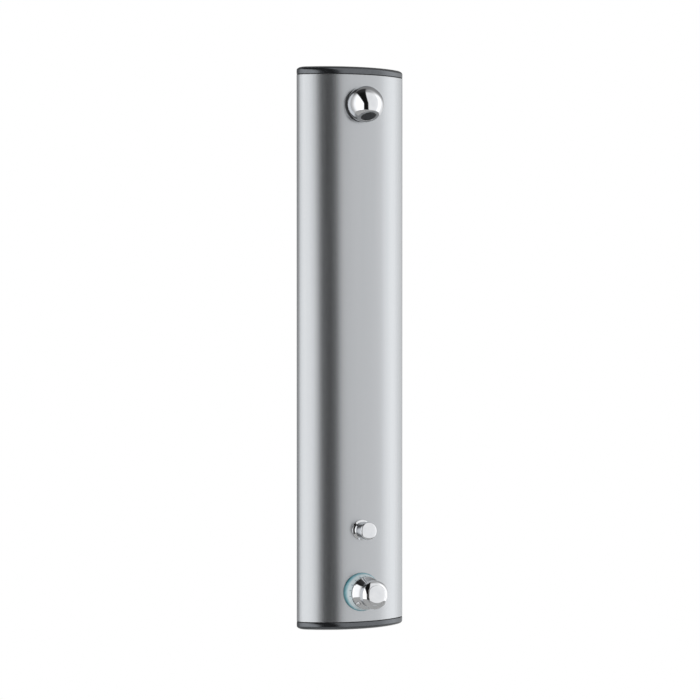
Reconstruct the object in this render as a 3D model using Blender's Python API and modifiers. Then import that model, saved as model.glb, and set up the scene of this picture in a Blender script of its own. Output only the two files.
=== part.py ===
"""Wall-mounted shower panel: extruded cover, end caps, fixed head, timed valve, thermostatic mixer.

The wall is the plane Y = 0 and the panel stands in front of it, towards -Y, with +Z up.
The origin lies on the rear face of the wall frame, at half the panel's height.
"""

import math

import bmesh
import bpy
from mathutils import Matrix, Vector

# Driving dimensions, in metres.
PANEL_HEIGHT = 1.000
COVER_WIDTH = 0.2066
COVER_DEPTH = 0.052
COVER_WALL = 0.0022
SHOULDER_RADIUS = 0.020
SHOULDER_SETBACK = 0.0018
SHOULDER_X = COVER_WIDTH / 2 - SHOULDER_RADIUS
SHOULDER_REACH = COVER_DEPTH - SHOULDER_SETBACK
FRONT_RADIUS = (SHOULDER_X ** 2 + SHOULDER_REACH ** 2 - SHOULDER_RADIUS ** 2) / (2 * (SHOULDER_REACH - SHOULDER_RADIUS))
SECTION_STEPS = 44
REAR_EDGE = 0.0010
LIP_REACH = 0.0165
LIP_THICKNESS = 0.0022

CAP_BAND = 0.0065
CAP_CROWN = 0.0070
CAP_CROWN_INSET = 0.014
CAP_WALL = 0.0032
CAP_CEILING = 0.0055
CAP_SKIRT = 0.0080
SEAL_THICKNESS = 0.0010
CROWN_STEPS = 5

FRAME_THICKNESS = 0.0020
FRAME_WIDTH = COVER_WIDTH - 0.0196
FRAME_SPINE_WIDTH = 0.030
UPPER_PLATE_HEIGHT = 0.100
LOWER_PLATE_HEIGHT = 0.200
TAB_WIDTH = 0.070
TAB_REACH = 0.036
TAB_SETBACK = 0.0006
TAB_EDGE = 0.0010
KEYHOLE_HEAD = 0.0045
KEYHOLE_NECK = 0.0025
KEYHOLE_DROP = 0.008
KEYHOLE_X = FRAME_WIDTH / 2 - 0.0315

CAP_SCREW_X = 0.020
CAP_SCREW_DEPTH = 0.022
CAP_SCREW_RADIUS = 0.0020
CAP_SCREW_HEAD = 0.0042
CAP_SCREW_HEAD_HEIGHT = 0.0026
CAP_SCREW_LENGTH = 0.026

HEAD_FROM_TOP = 0.0680
BUTTON_FROM_FOOT = 0.1777
KNOB_FROM_FOOT = 0.0675
HEAD_HEIGHT = PANEL_HEIGHT / 2 - HEAD_FROM_TOP
BUTTON_HEIGHT = BUTTON_FROM_FOOT - PANEL_HEIGHT / 2
KNOB_HEIGHT = KNOB_FROM_FOOT - PANEL_HEIGHT / 2
CLIP_LEVELS = (-0.100 * PANEL_HEIGHT, 0.200 * PANEL_HEIGHT)
CLIP_HALF_HEIGHT = 0.0050
CLIP_HALF_WIDTH = 0.0085
CLIP_PAST_AXIS = 0.0040

SOCKET_RADIUS = 0.0105
SOCKET_REACH = 0.030
PIPE_RADIUS = 0.0060
PIPE_WALL = 0.0010
PIPE_INSERTION = 0.009
NUT_LENGTH = 0.012
NUT_FLATS = 0.022
LOCK_NUT_LENGTH = 0.0045

DOME_RADIUS = 0.0325
DOME_STANDOFF = 0.4923 * DOME_RADIUS
DOME_WALL = 0.0030
SPRAY_TILT = math.radians(62.0)
SPRAY_SEAT = 0.80 * DOME_RADIUS
SPRAY_RADIUS = 0.0135
HEAD_NECK = 0.0100
HEAD_NUT_FLATS = 0.027

BUTTON_RADIUS = 0.0158
BUTTON_WALL = 0.0012
BUTTON_REACH = 0.0325
BUTTON_STROKE = 0.0060
BUTTON_CEILING = 0.0040
COLLAR_FLANGE = BUTTON_RADIUS + 0.0022
SLEEVE_RADIUS = BUTTON_RADIUS - 0.0020
SLEEVE_BORE = SLEEVE_RADIUS - 0.0033
SPRING_RADIUS = SLEEVE_BORE - 0.0023
SPRING_WIRE = 0.0007
STEM_RADIUS = 0.0034
VALVE_NECK = SLEEVE_RADIUS - 0.0013
VALVE_RADIUS = VALVE_NECK + 0.0040
VALVE_CHAMBER = VALVE_NECK - 0.0030
PISTON_RADIUS = VALVE_CHAMBER - 0.0015
PISTON_LENGTH = 0.0080
VALVE_NUT_FLATS = 0.032

DIAL_RADIUS = 0.0340
DIAL_HEIGHT = 0.0190
SKIRT_RADIUS = 0.0290
HANDLE_RADIUS = 0.0250
WAIST_RADIUS = HANDLE_RADIUS - 0.0045
FACE_RADIUS = HANDLE_RADIUS - 0.0060
KNOB_REACH = 0.0643
KNOB_CROWN = 0.0078
FACE_SEAT = 0.0600
SPINDLE_RADIUS = 0.0035
MIXER_RADIUS = 0.0165
WATERWAY_DEPTH = MIXER_RADIUS + 0.0040
MIXER_BORE = 0.0105
MIXER_HALF_LENGTH = 0.036
MIXER_NECK = 0.0145
MIXER_NUT_FLATS = 0.036
NECK_BORE = 0.0100
CARRIER_STROKE = 0.0021

INLET_X = 0.0580
INLET_BORE = 0.0075
INLET_RADIUS = 0.0112
STOP_RADIUS = 0.0042

GAP = 0.0003
HOLE_CLEARANCE = 0.0007
ROUND_SIDES = 28
SMALL_SIDES = 16
OVERCUT = 0.002

HALF_HEIGHT = PANEL_HEIGHT / 2
CAP_HEIGHT = CAP_BAND + CAP_CROWN
COVER_TOP = HALF_HEIGHT - CAP_HEIGHT - SEAL_THICKNESS - 2 * GAP
COVER_INSIDE = COVER_DEPTH - COVER_WALL
TAB_LEVEL = HALF_HEIGHT - CAP_HEIGHT - CAP_SKIRT - TAB_SETBACK
BRACKET_SEAM = KNOB_HEIGHT + 0.0325

FACING_OUT = Matrix.Rotation(math.radians(90), 4, "X")


# ---------------------------------------------------------------- scene and materials

def start_scene():
    for old in list(bpy.data.objects):
        bpy.data.objects.remove(old)
    groups = []
    for name in ("shower_panel", "cutters"):
        group = bpy.data.collections.new(name)
        bpy.context.scene.collection.children.link(group)
        groups.append(group)
    return groups


def make_material(name, colour, roughness, metallic):
    material = bpy.data.materials.new(name)
    material.use_nodes = True
    shader = material.node_tree.nodes["Principled BSDF"]
    shader.inputs["Base Color"].default_value = (*colour, 1.0)
    shader.inputs["Roughness"].default_value = roughness
    shader.inputs["Metallic"].default_value = metallic
    material.diffuse_color = (*colour, 1.0)
    return material


PARTS, CUTTERS = start_scene()
ANODISED = make_material("anodised_aluminium", (0.60, 0.61, 0.63), 0.32, 1.0)
CHROME = make_material("chrome_plate", (0.80, 0.81, 0.82), 0.06, 1.0)
CAP_PLASTIC = make_material("grey_cap_plastic", (0.13, 0.135, 0.14), 0.45, 0.0)
DARK_RUBBER = make_material("dark_rubber", (0.03, 0.03, 0.03), 0.7, 0.0)
BRASS = make_material("cast_brass", (0.62, 0.45, 0.20), 0.38, 1.0)
COPPER = make_material("copper_tube", (0.70, 0.36, 0.22), 0.3, 1.0)
STEEL = make_material("stainless_steel", (0.52, 0.52, 0.52), 0.35, 1.0)
SPRING_STEEL = make_material("spring_steel", (0.45, 0.45, 0.46), 0.3, 1.0)
BLUE_PLASTIC = make_material("blue_dial_plastic", (0.22, 0.45, 0.58), 0.3, 0.0)
DARK_PLASTIC = make_material("dark_spray_plastic", (0.05, 0.05, 0.055), 0.4, 0.0)
WHITE_PLASTIC = make_material("white_acetal", (0.75, 0.75, 0.72), 0.4, 0.0)


# ---------------------------------------------------------------- modelling tools

def add_object(name, mesh, material=None):
    """Places a mesh as a visible part, or as a hidden cutter when it has no material."""
    thing = bpy.data.objects.new(name, mesh)
    if material is None:
        CUTTERS.objects.link(thing)
        thing.hide_render = True
        thing.display_type = "WIRE"
    else:
        PARTS.objects.link(thing)
        mesh.materials.append(material)
    return thing


def smooth(mesh):
    mesh.shade_smooth()
    mesh.set_sharp_from_angle(angle=math.radians(32))


def turned(name, profile, material=None, place=Matrix(), sides=ROUND_SIDES, ring=False):
    """A turned body: (radius, height) points run down the outer side, then up the inner side."""
    points = [(radius, 0.0, height) for radius, height in profile]
    edges = [(i, i + 1) for i in range(len(points) - 1)]
    if ring:
        edges.append((len(points) - 1, 0))
    mesh = bpy.data.meshes.new(name)
    mesh.from_pydata(points, edges, [])
    thing = add_object(name, mesh, material)
    thing.matrix_world = place
    screw = thing.modifiers.new("Turn", "SCREW")
    screw.steps = sides
    screw.render_steps = sides
    screw.use_merge_vertices = True
    screw.merge_threshold = 0.00001
    screw.use_smooth_shade = True
    return thing


def rod(name, start, end, radius, material=None, sides=ROUND_SIDES):
    """A straight round bar between two points."""
    start, end = Vector(start), Vector(end)
    along = end - start
    shape = bmesh.new()
    bmesh.ops.create_cone(
        shape, cap_ends=True, segments=sides, radius1=radius, radius2=radius, depth=along.length
    )
    turn = along.to_track_quat("Z", "Y").to_matrix().to_4x4()
    bmesh.ops.transform(shape, matrix=turn, verts=shape.verts)
    mesh = bpy.data.meshes.new(name)
    shape.to_mesh(mesh)
    shape.free()
    smooth(mesh)
    thing = add_object(name, mesh, material)
    thing.location = (start + end) / 2
    return thing


def block(name, low, high, material=None):
    """A box between two opposite corners."""
    low, high = Vector(low), Vector(high)
    shape = bmesh.new()
    bmesh.ops.create_cube(shape, size=1.0)
    bmesh.ops.scale(shape, vec=high - low, verts=shape.verts)
    mesh = bpy.data.meshes.new(name)
    shape.to_mesh(mesh)
    shape.free()
    thing = add_object(name, mesh, material)
    thing.location = (low + high) / 2
    return thing


def prism(name, outline, thickness, material=None, place=Matrix(), holes=()):
    """A flat outline with holes in it, given thickness and centred on its own plane."""
    curve = bpy.data.curves.new(name + "_outline", "CURVE")
    curve.dimensions = "2D"
    curve.fill_mode = "BOTH"
    curve.extrude = thickness / 2
    for loop in (outline, *holes):
        spline = curve.splines.new("POLY")
        spline.points.add(len(loop) - 1)
        for point, (across, up) in zip(spline.points, loop):
            point.co = (across, up, 0.0, 1.0)
        spline.use_cyclic_u = True
    return meshed_curve(name, curve, material, place)


def meshed_curve(name, curve, material, place):
    """Turns a curve into a welded mesh, so it can be cut and joined."""
    guide = bpy.data.objects.new(name + "_guide", curve)
    bpy.context.scene.collection.objects.link(guide)
    guide.matrix_world = place
    graph = bpy.context.evaluated_depsgraph_get()
    mesh = bpy.data.meshes.new_from_object(guide.evaluated_get(graph))
    mesh.name = name
    weld = bmesh.new()
    weld.from_mesh(mesh)
    bmesh.ops.remove_doubles(weld, verts=weld.verts, dist=0.00001)
    bmesh.ops.recalc_face_normals(weld, faces=weld.faces)
    weld.to_mesh(mesh)
    weld.free()
    bpy.data.objects.remove(guide)
    smooth(mesh)
    thing = add_object(name, mesh, material)
    thing.matrix_world = place
    return thing


def combine(thing, tools, operation):
    for tool in tools:
        step = thing.modifiers.new(operation.title(), "BOOLEAN")
        step.operation = operation
        step.solver = "EXACT"
        step.object = tool


def cut(thing, *tools):
    combine(thing, tools, "DIFFERENCE")


def join(thing, *tools):
    combine(thing, tools, "UNION")


def circle(radius, sides=ROUND_SIDES, centre=(0.0, 0.0)):
    """The outline of a round hole."""
    return [
        (centre[0] + radius * math.cos(2 * math.pi * i / sides),
         centre[1] + radius * math.sin(2 * math.pi * i / sides))
        for i in range(sides)
    ]


def hexagon(flats):
    """The outline of a hexagon from its width across flats."""
    corner = flats / math.sqrt(3)
    return [
        (corner * math.cos(math.radians(60 * i)), corner * math.sin(math.radians(60 * i)))
        for i in range(6)
    ]


def coil(name, radius, wire, turns, start, end, material):
    """A helical spring along Y between two points on its axis, with ground ends left plain."""
    start, end = Vector(start), Vector(end)
    per_turn = 10
    count = turns * per_turn
    curve = bpy.data.curves.new(name + "_wire", "CURVE")
    curve.dimensions = "3D"
    curve.bevel_depth = wire
    curve.bevel_resolution = 2
    curve.use_fill_caps = True
    spline = curve.splines.new("POLY")
    spline.points.add(count)
    for i, point in enumerate(spline.points):
        angle = 2 * math.pi * i / per_turn
        centre = start.lerp(end, i / count)
        point.co = (
            centre.x + radius * math.cos(angle), centre.y, centre.z + radius * math.sin(angle), 1.0
        )
    return meshed_curve(name, curve, material, Matrix())


def out_from_cover(height):
    """A place on the panel's front, with local +Z pointing away from the wall."""
    return Matrix.Translation((0.0, -COVER_DEPTH, height)) @ FACING_OUT


# ---------------------------------------------------------------- cover section

def cover_curve(inset, rear):
    """The D-shaped section, moved inwards by inset, from the right rear edge to the left one.

    A wide front arc runs into two shoulder arcs; every inset keeps the arcs' centres, so walls stay even.
    """
    turn = math.asin(SHOULDER_X / (FRONT_RADIUS - SHOULDER_RADIUS))
    front_y = FRONT_RADIUS - COVER_DEPTH
    shoulder_y = front_y - (FRONT_RADIUS - SHOULDER_RADIUS) * math.cos(turn)
    front, shoulder = FRONT_RADIUS - inset, SHOULDER_RADIUS - inset
    if rear + shoulder_y <= 0:
        first = math.pi / 2
    elif rear + shoulder_y <= shoulder * math.cos(turn):
        first = math.acos((rear + shoulder_y) / shoulder)
    else:
        first = math.acos((rear + front_y) / front)
    points = []
    for i in range(SECTION_STEPS + 1):
        angle = first * (1 - 2 * i / SECTION_STEPS)
        if abs(angle) > turn:
            side = math.copysign(1.0, angle)
            across = side * SHOULDER_X + shoulder * math.sin(angle)
            points.append((across, shoulder_y - shoulder * math.cos(angle)))
        else:
            points.append((front * math.sin(angle), front_y - front * math.cos(angle)))
    points[0] = (points[0][0], -rear)
    points[-1] = (points[-1][0], -rear)
    return points


def cover_outline():
    """The extrusion's closed section: the curved wall with a return lip along each rear edge."""
    outer = cover_curve(0.0, REAR_EDGE)
    lip_back = FRAME_THICKNESS + GAP
    lip_front = lip_back + LIP_THICKNESS
    inner_x = COVER_WIDTH / 2 - COVER_WALL
    tip_x = COVER_WIDTH / 2 - LIP_REACH
    inner = [point for point in cover_curve(COVER_WALL, REAR_EDGE) if point[1] < -lip_front]
    left_lip = [(-inner_x, -REAR_EDGE), (-inner_x, -lip_back), (-tip_x, -lip_back),
                (-tip_x, -lip_front), (-inner_x, -lip_front)]
    right_lip = [(-x, y) for x, y in reversed(left_lip)]
    return outer + left_lip + inner[::-1] + right_lip


def cover_envelope(name, height, clearance):
    """A cutter that gives a fitting the saddle-shaped back that sits on the curved cover."""
    outline = cover_curve(-clearance, 0.0)
    place = Matrix.Translation((0.0, 0.0, height))
    return prism(name, outline, 0.12, None, place)


def saddle_foot(radius):
    """A height that is safely behind the curved cover at the edge of a round fitting."""
    return math.sqrt(FRONT_RADIUS ** 2 - radius ** 2) - FRONT_RADIUS - OVERCUT


def make_cover():
    cover = prism("front_cover", cover_outline(), 2 * COVER_TOP, ANODISED)
    holes = (
        ("head", HEAD_HEIGHT, HEAD_NECK),
        ("button", BUTTON_HEIGHT, VALVE_NECK),
        ("knob", KNOB_HEIGHT, MIXER_NECK),
    )
    for label, height, neck in holes:
        front = (0.0, -COVER_DEPTH - OVERCUT, height)
        behind = (0.0, -COVER_INSIDE + OVERCUT, height)
        cut(cover, rod("cover_hole_" + label, behind, front, neck + HOLE_CLEARANCE))


# ---------------------------------------------------------------- end caps and seals

def lofted(name, loops, material):
    """Skins a run of equal loops and closes the first and last one."""
    shape = bmesh.new()
    rows = [[shape.verts.new(point) for point in loop] for loop in loops]
    for upper, lower in zip(rows, rows[1:]):
        count = len(upper)
        for i in range(count):
            after = (i + 1) % count
            shape.faces.new((upper[i], upper[after], lower[after], lower[i]))
    shape.faces.new(rows[0])
    shape.faces.new(rows[-1])
    bmesh.ops.recalc_face_normals(shape, faces=shape.faces)
    mesh = bpy.data.meshes.new(name)
    shape.to_mesh(mesh)
    shape.free()
    smooth(mesh)
    return add_object(name, mesh, material)


def make_end_cap(side, way):
    """One moulded cap: a level band, a rounded crown and a skirt that plugs into the cover."""
    joint = HALF_HEIGHT - CAP_HEIGHT
    skirt_inset = COVER_WALL + 2 * GAP
    skirt_rear = FRAME_THICKNESS + 3 * GAP + LIP_THICKNESS + CAP_WALL / 2
    inner_inset = skirt_inset + CAP_WALL
    ceiling = HALF_HEIGHT - CAP_CEILING
    levels = []
    for i in range(CROWN_STEPS + 1):
        angle = math.radians(90 * (1 - i / CROWN_STEPS))
        rise = CAP_CROWN * math.sin(angle)
        inset = CAP_CROWN_INSET * (1 - math.cos(angle))
        levels.append((inset, REAR_EDGE, joint + CAP_BAND + rise))
    levels.append((0.0, REAR_EDGE, joint))
    levels.append((skirt_inset, skirt_rear, joint))
    levels.append((skirt_inset, skirt_rear, joint - CAP_SKIRT))
    levels.append((inner_inset, skirt_rear + CAP_WALL, joint - CAP_SKIRT))
    levels.append((inner_inset, skirt_rear + CAP_WALL, joint + CAP_BAND - CAP_CEILING))
    levels.append((CAP_CROWN_INSET + CAP_WALL, skirt_rear + CAP_WALL, ceiling))
    loops = [
        [(x, y, way * level) for x, y in cover_curve(inset, rear)] for inset, rear, level in levels
    ]
    cap = lofted(side + "_end_cap", loops, CAP_PLASTIC)
    for index, across in enumerate((-CAP_SCREW_X, CAP_SCREW_X), start=1):
        label = f"{side}_cap_hole_{index}"
        outside = (across, -CAP_SCREW_DEPTH, way * (HALF_HEIGHT + OVERCUT))
        inside = (across, -CAP_SCREW_DEPTH, way * (ceiling - OVERCUT))
        head_seat = (across, -CAP_SCREW_DEPTH, way * (HALF_HEIGHT - CAP_SCREW_HEAD_HEIGHT))
        through = rod(label, inside, outside, CAP_SCREW_RADIUS + GAP, sides=SMALL_SIDES)
        pocket = rod(label + "_recess", head_seat, outside, CAP_SCREW_HEAD + GAP, sides=SMALL_SIDES)
        cut(cap, through, pocket)


def make_cap_seal(side, way):
    """A flat rubber ring between the end of the cover and the cap."""
    level = COVER_TOP + GAP + SEAL_THICKNESS / 2
    rear = FRAME_THICKNESS + 2 * GAP + LIP_THICKNESS
    window = cover_curve(COVER_WALL + GAP, rear)
    prism(side + "_cap_seal", cover_curve(GAP, REAR_EDGE), SEAL_THICKNESS, DARK_RUBBER,
          Matrix.Translation((0.0, 0.0, way * level)), holes=[window])


def make_cap_screws(side, way):
    for index, across in enumerate((-CAP_SCREW_X, CAP_SCREW_X), start=1):
        top = HALF_HEIGHT - GAP
        seat = HALF_HEIGHT - CAP_SCREW_HEAD_HEIGHT + GAP
        profile = [(0.0, top), (CAP_SCREW_HEAD * 0.8, top), (CAP_SCREW_HEAD, top - 0.0006),
                   (CAP_SCREW_HEAD, seat), (CAP_SCREW_RADIUS, seat),
                   (CAP_SCREW_RADIUS, top - CAP_SCREW_LENGTH), (0.0, top - CAP_SCREW_LENGTH)]
        turn = Matrix.Rotation(0.0 if way > 0 else math.pi, 4, "X")
        place = Matrix.Translation((across, -CAP_SCREW_DEPTH, 0.0)) @ turn
        turned(f"{side}_cap_screw_{index}", profile, STEEL, place, sides=16)


# ---------------------------------------------------------------- wall frame

def make_wall_frame():
    """The pressed hanging frame: a head plate with a folded tab, a spine and the top of the foot plate."""
    half = FRAME_WIDTH / 2
    top = TAB_LEVEL + TAB_EDGE
    spine = FRAME_SPINE_WIDTH / 2
    upper = top - UPPER_PLATE_HEIGHT
    lower = -top + LOWER_PLATE_HEIGHT
    slope = FRAME_SPINE_WIDTH / 3
    right = [(half, top), (half, upper), (spine, upper - slope), (spine, lower + slope), (half, lower),
             (half, BRACKET_SEAM + GAP)]
    outline = right + [(-x, z) for x, z in reversed(right)]
    keyholes = [keyhole(way * KEYHOLE_X, level) for way in (-1, 1) for level in (HEAD_HEIGHT, BUTTON_HEIGHT)]
    frame = prism("wall_frame", outline, FRAME_THICKNESS, STEEL, frame_plane(), holes=keyholes)
    join(frame, folded_tab("top", 1))


def make_inlet_bracket():
    """The foot of the frame: a plate with a window for each supply pipe and a folded tab."""
    half = FRAME_WIDTH / 2
    foot = -TAB_LEVEL - TAB_EDGE
    outline = [(half, BRACKET_SEAM), (half, foot), (-half, foot), (-half, BRACKET_SEAM)]
    windows = [circle(INLET_RADIUS + OVERCUT, centre=(way * INLET_X, KNOB_HEIGHT)) for way in (-1, 1)]
    bracket = prism("inlet_bracket", outline, FRAME_THICKNESS, STEEL, frame_plane(), holes=windows)
    join(bracket, folded_tab("bottom", -1))


def frame_plane():
    return Matrix.Translation((0.0, -FRAME_THICKNESS / 2, 0.0)) @ FACING_OUT


def folded_tab(side, way):
    """The level tab that takes an end cap's screws."""
    level = way * (TAB_LEVEL - FRAME_THICKNESS / 2)
    reach = TAB_REACH - FRAME_THICKNESS / 2
    corners = [(TAB_WIDTH / 2, reach), (-TAB_WIDTH / 2, reach), (-TAB_WIDTH / 2, 0.0), (TAB_WIDTH / 2, 0.0)]
    screw_holes = [circle(CAP_SCREW_RADIUS + GAP, SMALL_SIDES, (x, CAP_SCREW_DEPTH - FRAME_THICKNESS / 2))
                   for x in (-CAP_SCREW_X, CAP_SCREW_X)]
    turn = Matrix.Rotation(math.pi, 4, "X")
    place = Matrix.Translation((0.0, -FRAME_THICKNESS / 2, level)) @ turn
    return prism(side + "_tab", corners, FRAME_THICKNESS, None, place, holes=screw_holes)


def keyhole(across, level):
    """A hanging hole: a round entry for the screw's head with a narrow slot above it."""
    shoulder = math.asin(KEYHOLE_NECK / KEYHOLE_HEAD)
    steps = 12
    points = []
    for i in range(steps + 1):
        angle = math.pi / 2 + shoulder + (2 * math.pi - 2 * shoulder) * i / steps
        points.append((across + KEYHOLE_HEAD * math.cos(angle), level + KEYHOLE_HEAD * math.sin(angle)))
    for i in range(7):
        angle = math.pi * i / 6
        points.append((across + KEYHOLE_NECK * math.cos(angle),
                       level + KEYHOLE_DROP + KEYHOLE_NECK * math.sin(angle)))
    return points


# ---------------------------------------------------------------- waterway

def tube_between(name, low, high, outer, inner, material):
    """A straight vertical tube on the waterway's centre line."""
    profile = [(outer, high), (outer, low), (inner, low), (inner, high)]
    return turned(name, profile, material, Matrix.Translation((0.0, -WATERWAY_DEPTH, 0.0)),
                  sides=SMALL_SIDES, ring=True)


def make_pipes():
    bore = PIPE_RADIUS - PIPE_WALL
    runs = (("feed_pipe", KNOB_HEIGHT, BUTTON_HEIGHT), ("riser_pipe", BUTTON_HEIGHT, HEAD_HEIGHT))
    for name, below, above in runs:
        low = below + SOCKET_REACH - PIPE_INSERTION
        high = above - SOCKET_REACH + PIPE_INSERTION
        tube_between(name, low, high, PIPE_RADIUS, bore, COPPER)


def make_pipe_nut(name, height, way):
    """A compression nut that closes on the end of a socket and grips the pipe."""
    near = height + way * (SOCKET_REACH + GAP)
    centre = near + way * NUT_LENGTH / 2
    place = Matrix.Translation((0.0, -WATERWAY_DEPTH, centre))
    bore = circle(PIPE_RADIUS + GAP, SMALL_SIDES)
    prism(name, hexagon(NUT_FLATS), NUT_LENGTH, BRASS, place, holes=[bore])


def make_pipe_clip(name, height):
    """A clip on the inside of the cover that holds the riser."""
    front = -COVER_INSIDE + FRONT_RADIUS - math.sqrt(FRONT_RADIUS ** 2 - CLIP_HALF_WIDTH ** 2) + GAP
    clip = block(name, (-CLIP_HALF_WIDTH, front, height - CLIP_HALF_HEIGHT),
                 (CLIP_HALF_WIDTH, -WATERWAY_DEPTH + CLIP_PAST_AXIS, height + CLIP_HALF_HEIGHT), WHITE_PLASTIC)
    low = (0.0, -WATERWAY_DEPTH, height - 2 * CLIP_HALF_HEIGHT)
    high = (0.0, -WATERWAY_DEPTH, height + 2 * CLIP_HALF_HEIGHT)
    cut(clip, rod(name + "_bore", low, high, PIPE_RADIUS + GAP, sides=SMALL_SIDES))


def socket_tools(name, height, way):
    """The outside and the stepped bore of a pipe socket above (+1) or below (-1) a body."""
    def axis(offset):
        return (0.0, -WATERWAY_DEPTH, height + way * offset)

    outside = rod(name + "_socket", axis(0.001), axis(SOCKET_REACH), SOCKET_RADIUS)
    seat = rod(name + "_seat", axis(SOCKET_REACH - PIPE_INSERTION - GAP), axis(SOCKET_REACH + OVERCUT),
               PIPE_RADIUS + GAP, sides=SMALL_SIDES)
    way_through = rod(name + "_way", axis(0.0), axis(SOCKET_REACH), PIPE_RADIUS - PIPE_WALL,
                      sides=SMALL_SIDES)
    return outside, seat, way_through


def lock_nut_front(flats):
    """How far a lock nut's front face is from the wall: its corners just clear the curved cover."""
    inside = FRONT_RADIUS - COVER_WALL
    corner = flats / math.sqrt(3)
    hollow = inside - math.sqrt(inside ** 2 - corner ** 2)
    return COVER_INSIDE - hollow - GAP


def lock_nut_rear(flats):
    return lock_nut_front(flats) - LOCK_NUT_LENGTH


def lock_nut(name, height, neck, flats):
    """A hexagon nut that pulls a valve's neck up against the inside of the cover."""
    centre = -(lock_nut_front(flats) + lock_nut_rear(flats)) / 2
    place = Matrix.Translation((0.0, centre, height)) @ FACING_OUT
    prism(name, hexagon(flats), LOCK_NUT_LENGTH, BRASS, place, holes=[circle(neck + GAP)])


# ---------------------------------------------------------------- shower head

def spray_direction():
    """The way the water leaves: mostly down, tilted away from the wall."""
    return Vector((0.0, -math.cos(SPRAY_TILT), -math.sin(SPRAY_TILT)))


def dome_centre():
    return Vector((0.0, -COVER_DEPTH - DOME_STANDOFF, HEAD_HEIGHT))


def ball_profile(radius, base, steps):
    """Half of a ball's outline from its front pole down to a flat base at the given height."""
    lowest = math.asin(max(-1.0, (base - DOME_STANDOFF) / radius))
    points = []
    for i in range(steps + 1):
        angle = math.radians(90) + (lowest - math.radians(90)) * i / steps
        points.append((max(0.0, radius * math.cos(angle)), DOME_STANDOFF + radius * math.sin(angle)))
    points[0] = (0.0, DOME_STANDOFF + radius)
    return points + [(0.0, base)]


def slab_beyond(name, seat):
    """A cutter block that starts on the spray plane at a distance from the dome's centre."""
    size = 4 * DOME_RADIUS
    shape = bmesh.new()
    bmesh.ops.create_cube(shape, size=size)
    turn = spray_direction().to_track_quat("Z", "Y").to_matrix().to_4x4()
    place = Matrix.Translation(dome_centre() + spray_direction() * (seat + size / 2)) @ turn
    bmesh.ops.transform(shape, matrix=place, verts=shape.verts)
    mesh = bpy.data.meshes.new(name)
    shape.to_mesh(mesh)
    shape.free()
    return add_object(name, mesh)


HEAD_SEAL = 0.0022


def make_dome():
    place = out_from_cover(HEAD_HEIGHT)
    base = HEAD_SEAL + GAP
    dome = turned("shower_dome", ball_profile(DOME_RADIUS, base, 14), CHROME, place, sides=36)
    hollow = turned("dome_hollow", ball_profile(DOME_RADIUS - DOME_WALL, base - OVERCUT, 10), None,
                    place, sides=ROUND_SIDES)
    cut(hollow, slab_beyond("hollow_face", SPRAY_SEAT - DOME_WALL))
    outlet_start = dome_centre() + spray_direction() * (SPRAY_SEAT - 2 * DOME_WALL)
    outlet_end = dome_centre() + spray_direction() * (SPRAY_SEAT + OVERCUT)
    outlet = rod("dome_outlet", outlet_start, outlet_end, SPRAY_RADIUS)
    cut(dome, slab_beyond("dome_face", SPRAY_SEAT), hollow, outlet)


def make_head_seal():
    """The dark ring under the dome, with a back that follows the cover."""
    outer = dome_base_radius() + 0.0012
    inner = HEAD_NECK + HOLE_CLEARANCE
    foot = saddle_foot(outer)
    profile = [(outer, HEAD_SEAL), (outer, foot), (inner, foot), (inner, HEAD_SEAL)]
    seal = turned("head_seal", profile, DARK_RUBBER, out_from_cover(HEAD_HEIGHT), ring=True)
    cut(seal, cover_envelope("head_saddle", HEAD_HEIGHT, GAP))


def dome_base_radius():
    return math.sqrt(DOME_RADIUS ** 2 - (DOME_STANDOFF - HEAD_SEAL - GAP) ** 2)


def make_head_backplate():
    """The threaded plate inside the dome that the head screws on to."""
    low = HEAD_SEAL + GAP
    high = low + 0.0030
    hub = high + 0.006
    rim = dome_base_radius() - DOME_WALL - 0.0022
    bore = HEAD_NECK + GAP
    profile = [(bore + 0.003, hub), (bore + 0.003, high), (rim, high), (rim, low), (bore, low), (bore, hub)]
    turned("head_backplate", profile, BRASS, out_from_cover(HEAD_HEIGHT), ring=True)


def make_spray_insert():
    """The dark nozzle disc set in the dome's flat underside."""
    radius = SPRAY_RADIUS - GAP
    outer = 0.0006
    turn = spray_direction().to_track_quat("Z", "Y").to_matrix().to_4x4()
    place = Matrix.Translation(dome_centre() + spray_direction() * SPRAY_SEAT) @ turn
    profile = [(0.0, outer), (radius * 0.72, outer), (radius * 0.92, outer * 0.5), (radius, -outer),
               (radius, -DOME_WALL - 0.001), (0.0, -DOME_WALL - 0.001)]
    turned("spray_insert", profile, DARK_PLASTIC, place)
    low = -DOME_WALL - 0.001 - GAP
    regulator = [(0.0, low), (0.0100, low), (0.0100, low - 0.005), (0.0, low - 0.005)]
    turned("flow_regulator", regulator, WHITE_PLASTIC, place, sides=SMALL_SIDES)


def make_head_elbow():
    """The brass elbow behind the cover that turns the riser out to the head."""
    barrel = 0.0125
    rear = WATERWAY_DEPTH - barrel - 0.001
    front = lock_nut_rear(HEAD_NUT_FLATS) - GAP
    elbow = rod("head_elbow", (0.0, -rear, HEAD_HEIGHT), (0.0, -front, HEAD_HEIGHT), barrel, BRASS)
    neck_end = (0.0, -COVER_DEPTH - HEAD_SEAL - 0.008, HEAD_HEIGHT)
    neck = rod("head_neck", (0.0, -WATERWAY_DEPTH, HEAD_HEIGHT), neck_end, HEAD_NECK)
    outside, seat, way_through = socket_tools("head", HEAD_HEIGHT, -1)
    beyond = (0.0, neck_end[1] - OVERCUT, HEAD_HEIGHT)
    bore = rod("head_bore", (0.0, -WATERWAY_DEPTH + 0.006, HEAD_HEIGHT), beyond, 0.0065)
    join(elbow, neck, outside)
    cut(elbow, bore, seat, way_through)


# ---------------------------------------------------------------- timed push valve

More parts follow.
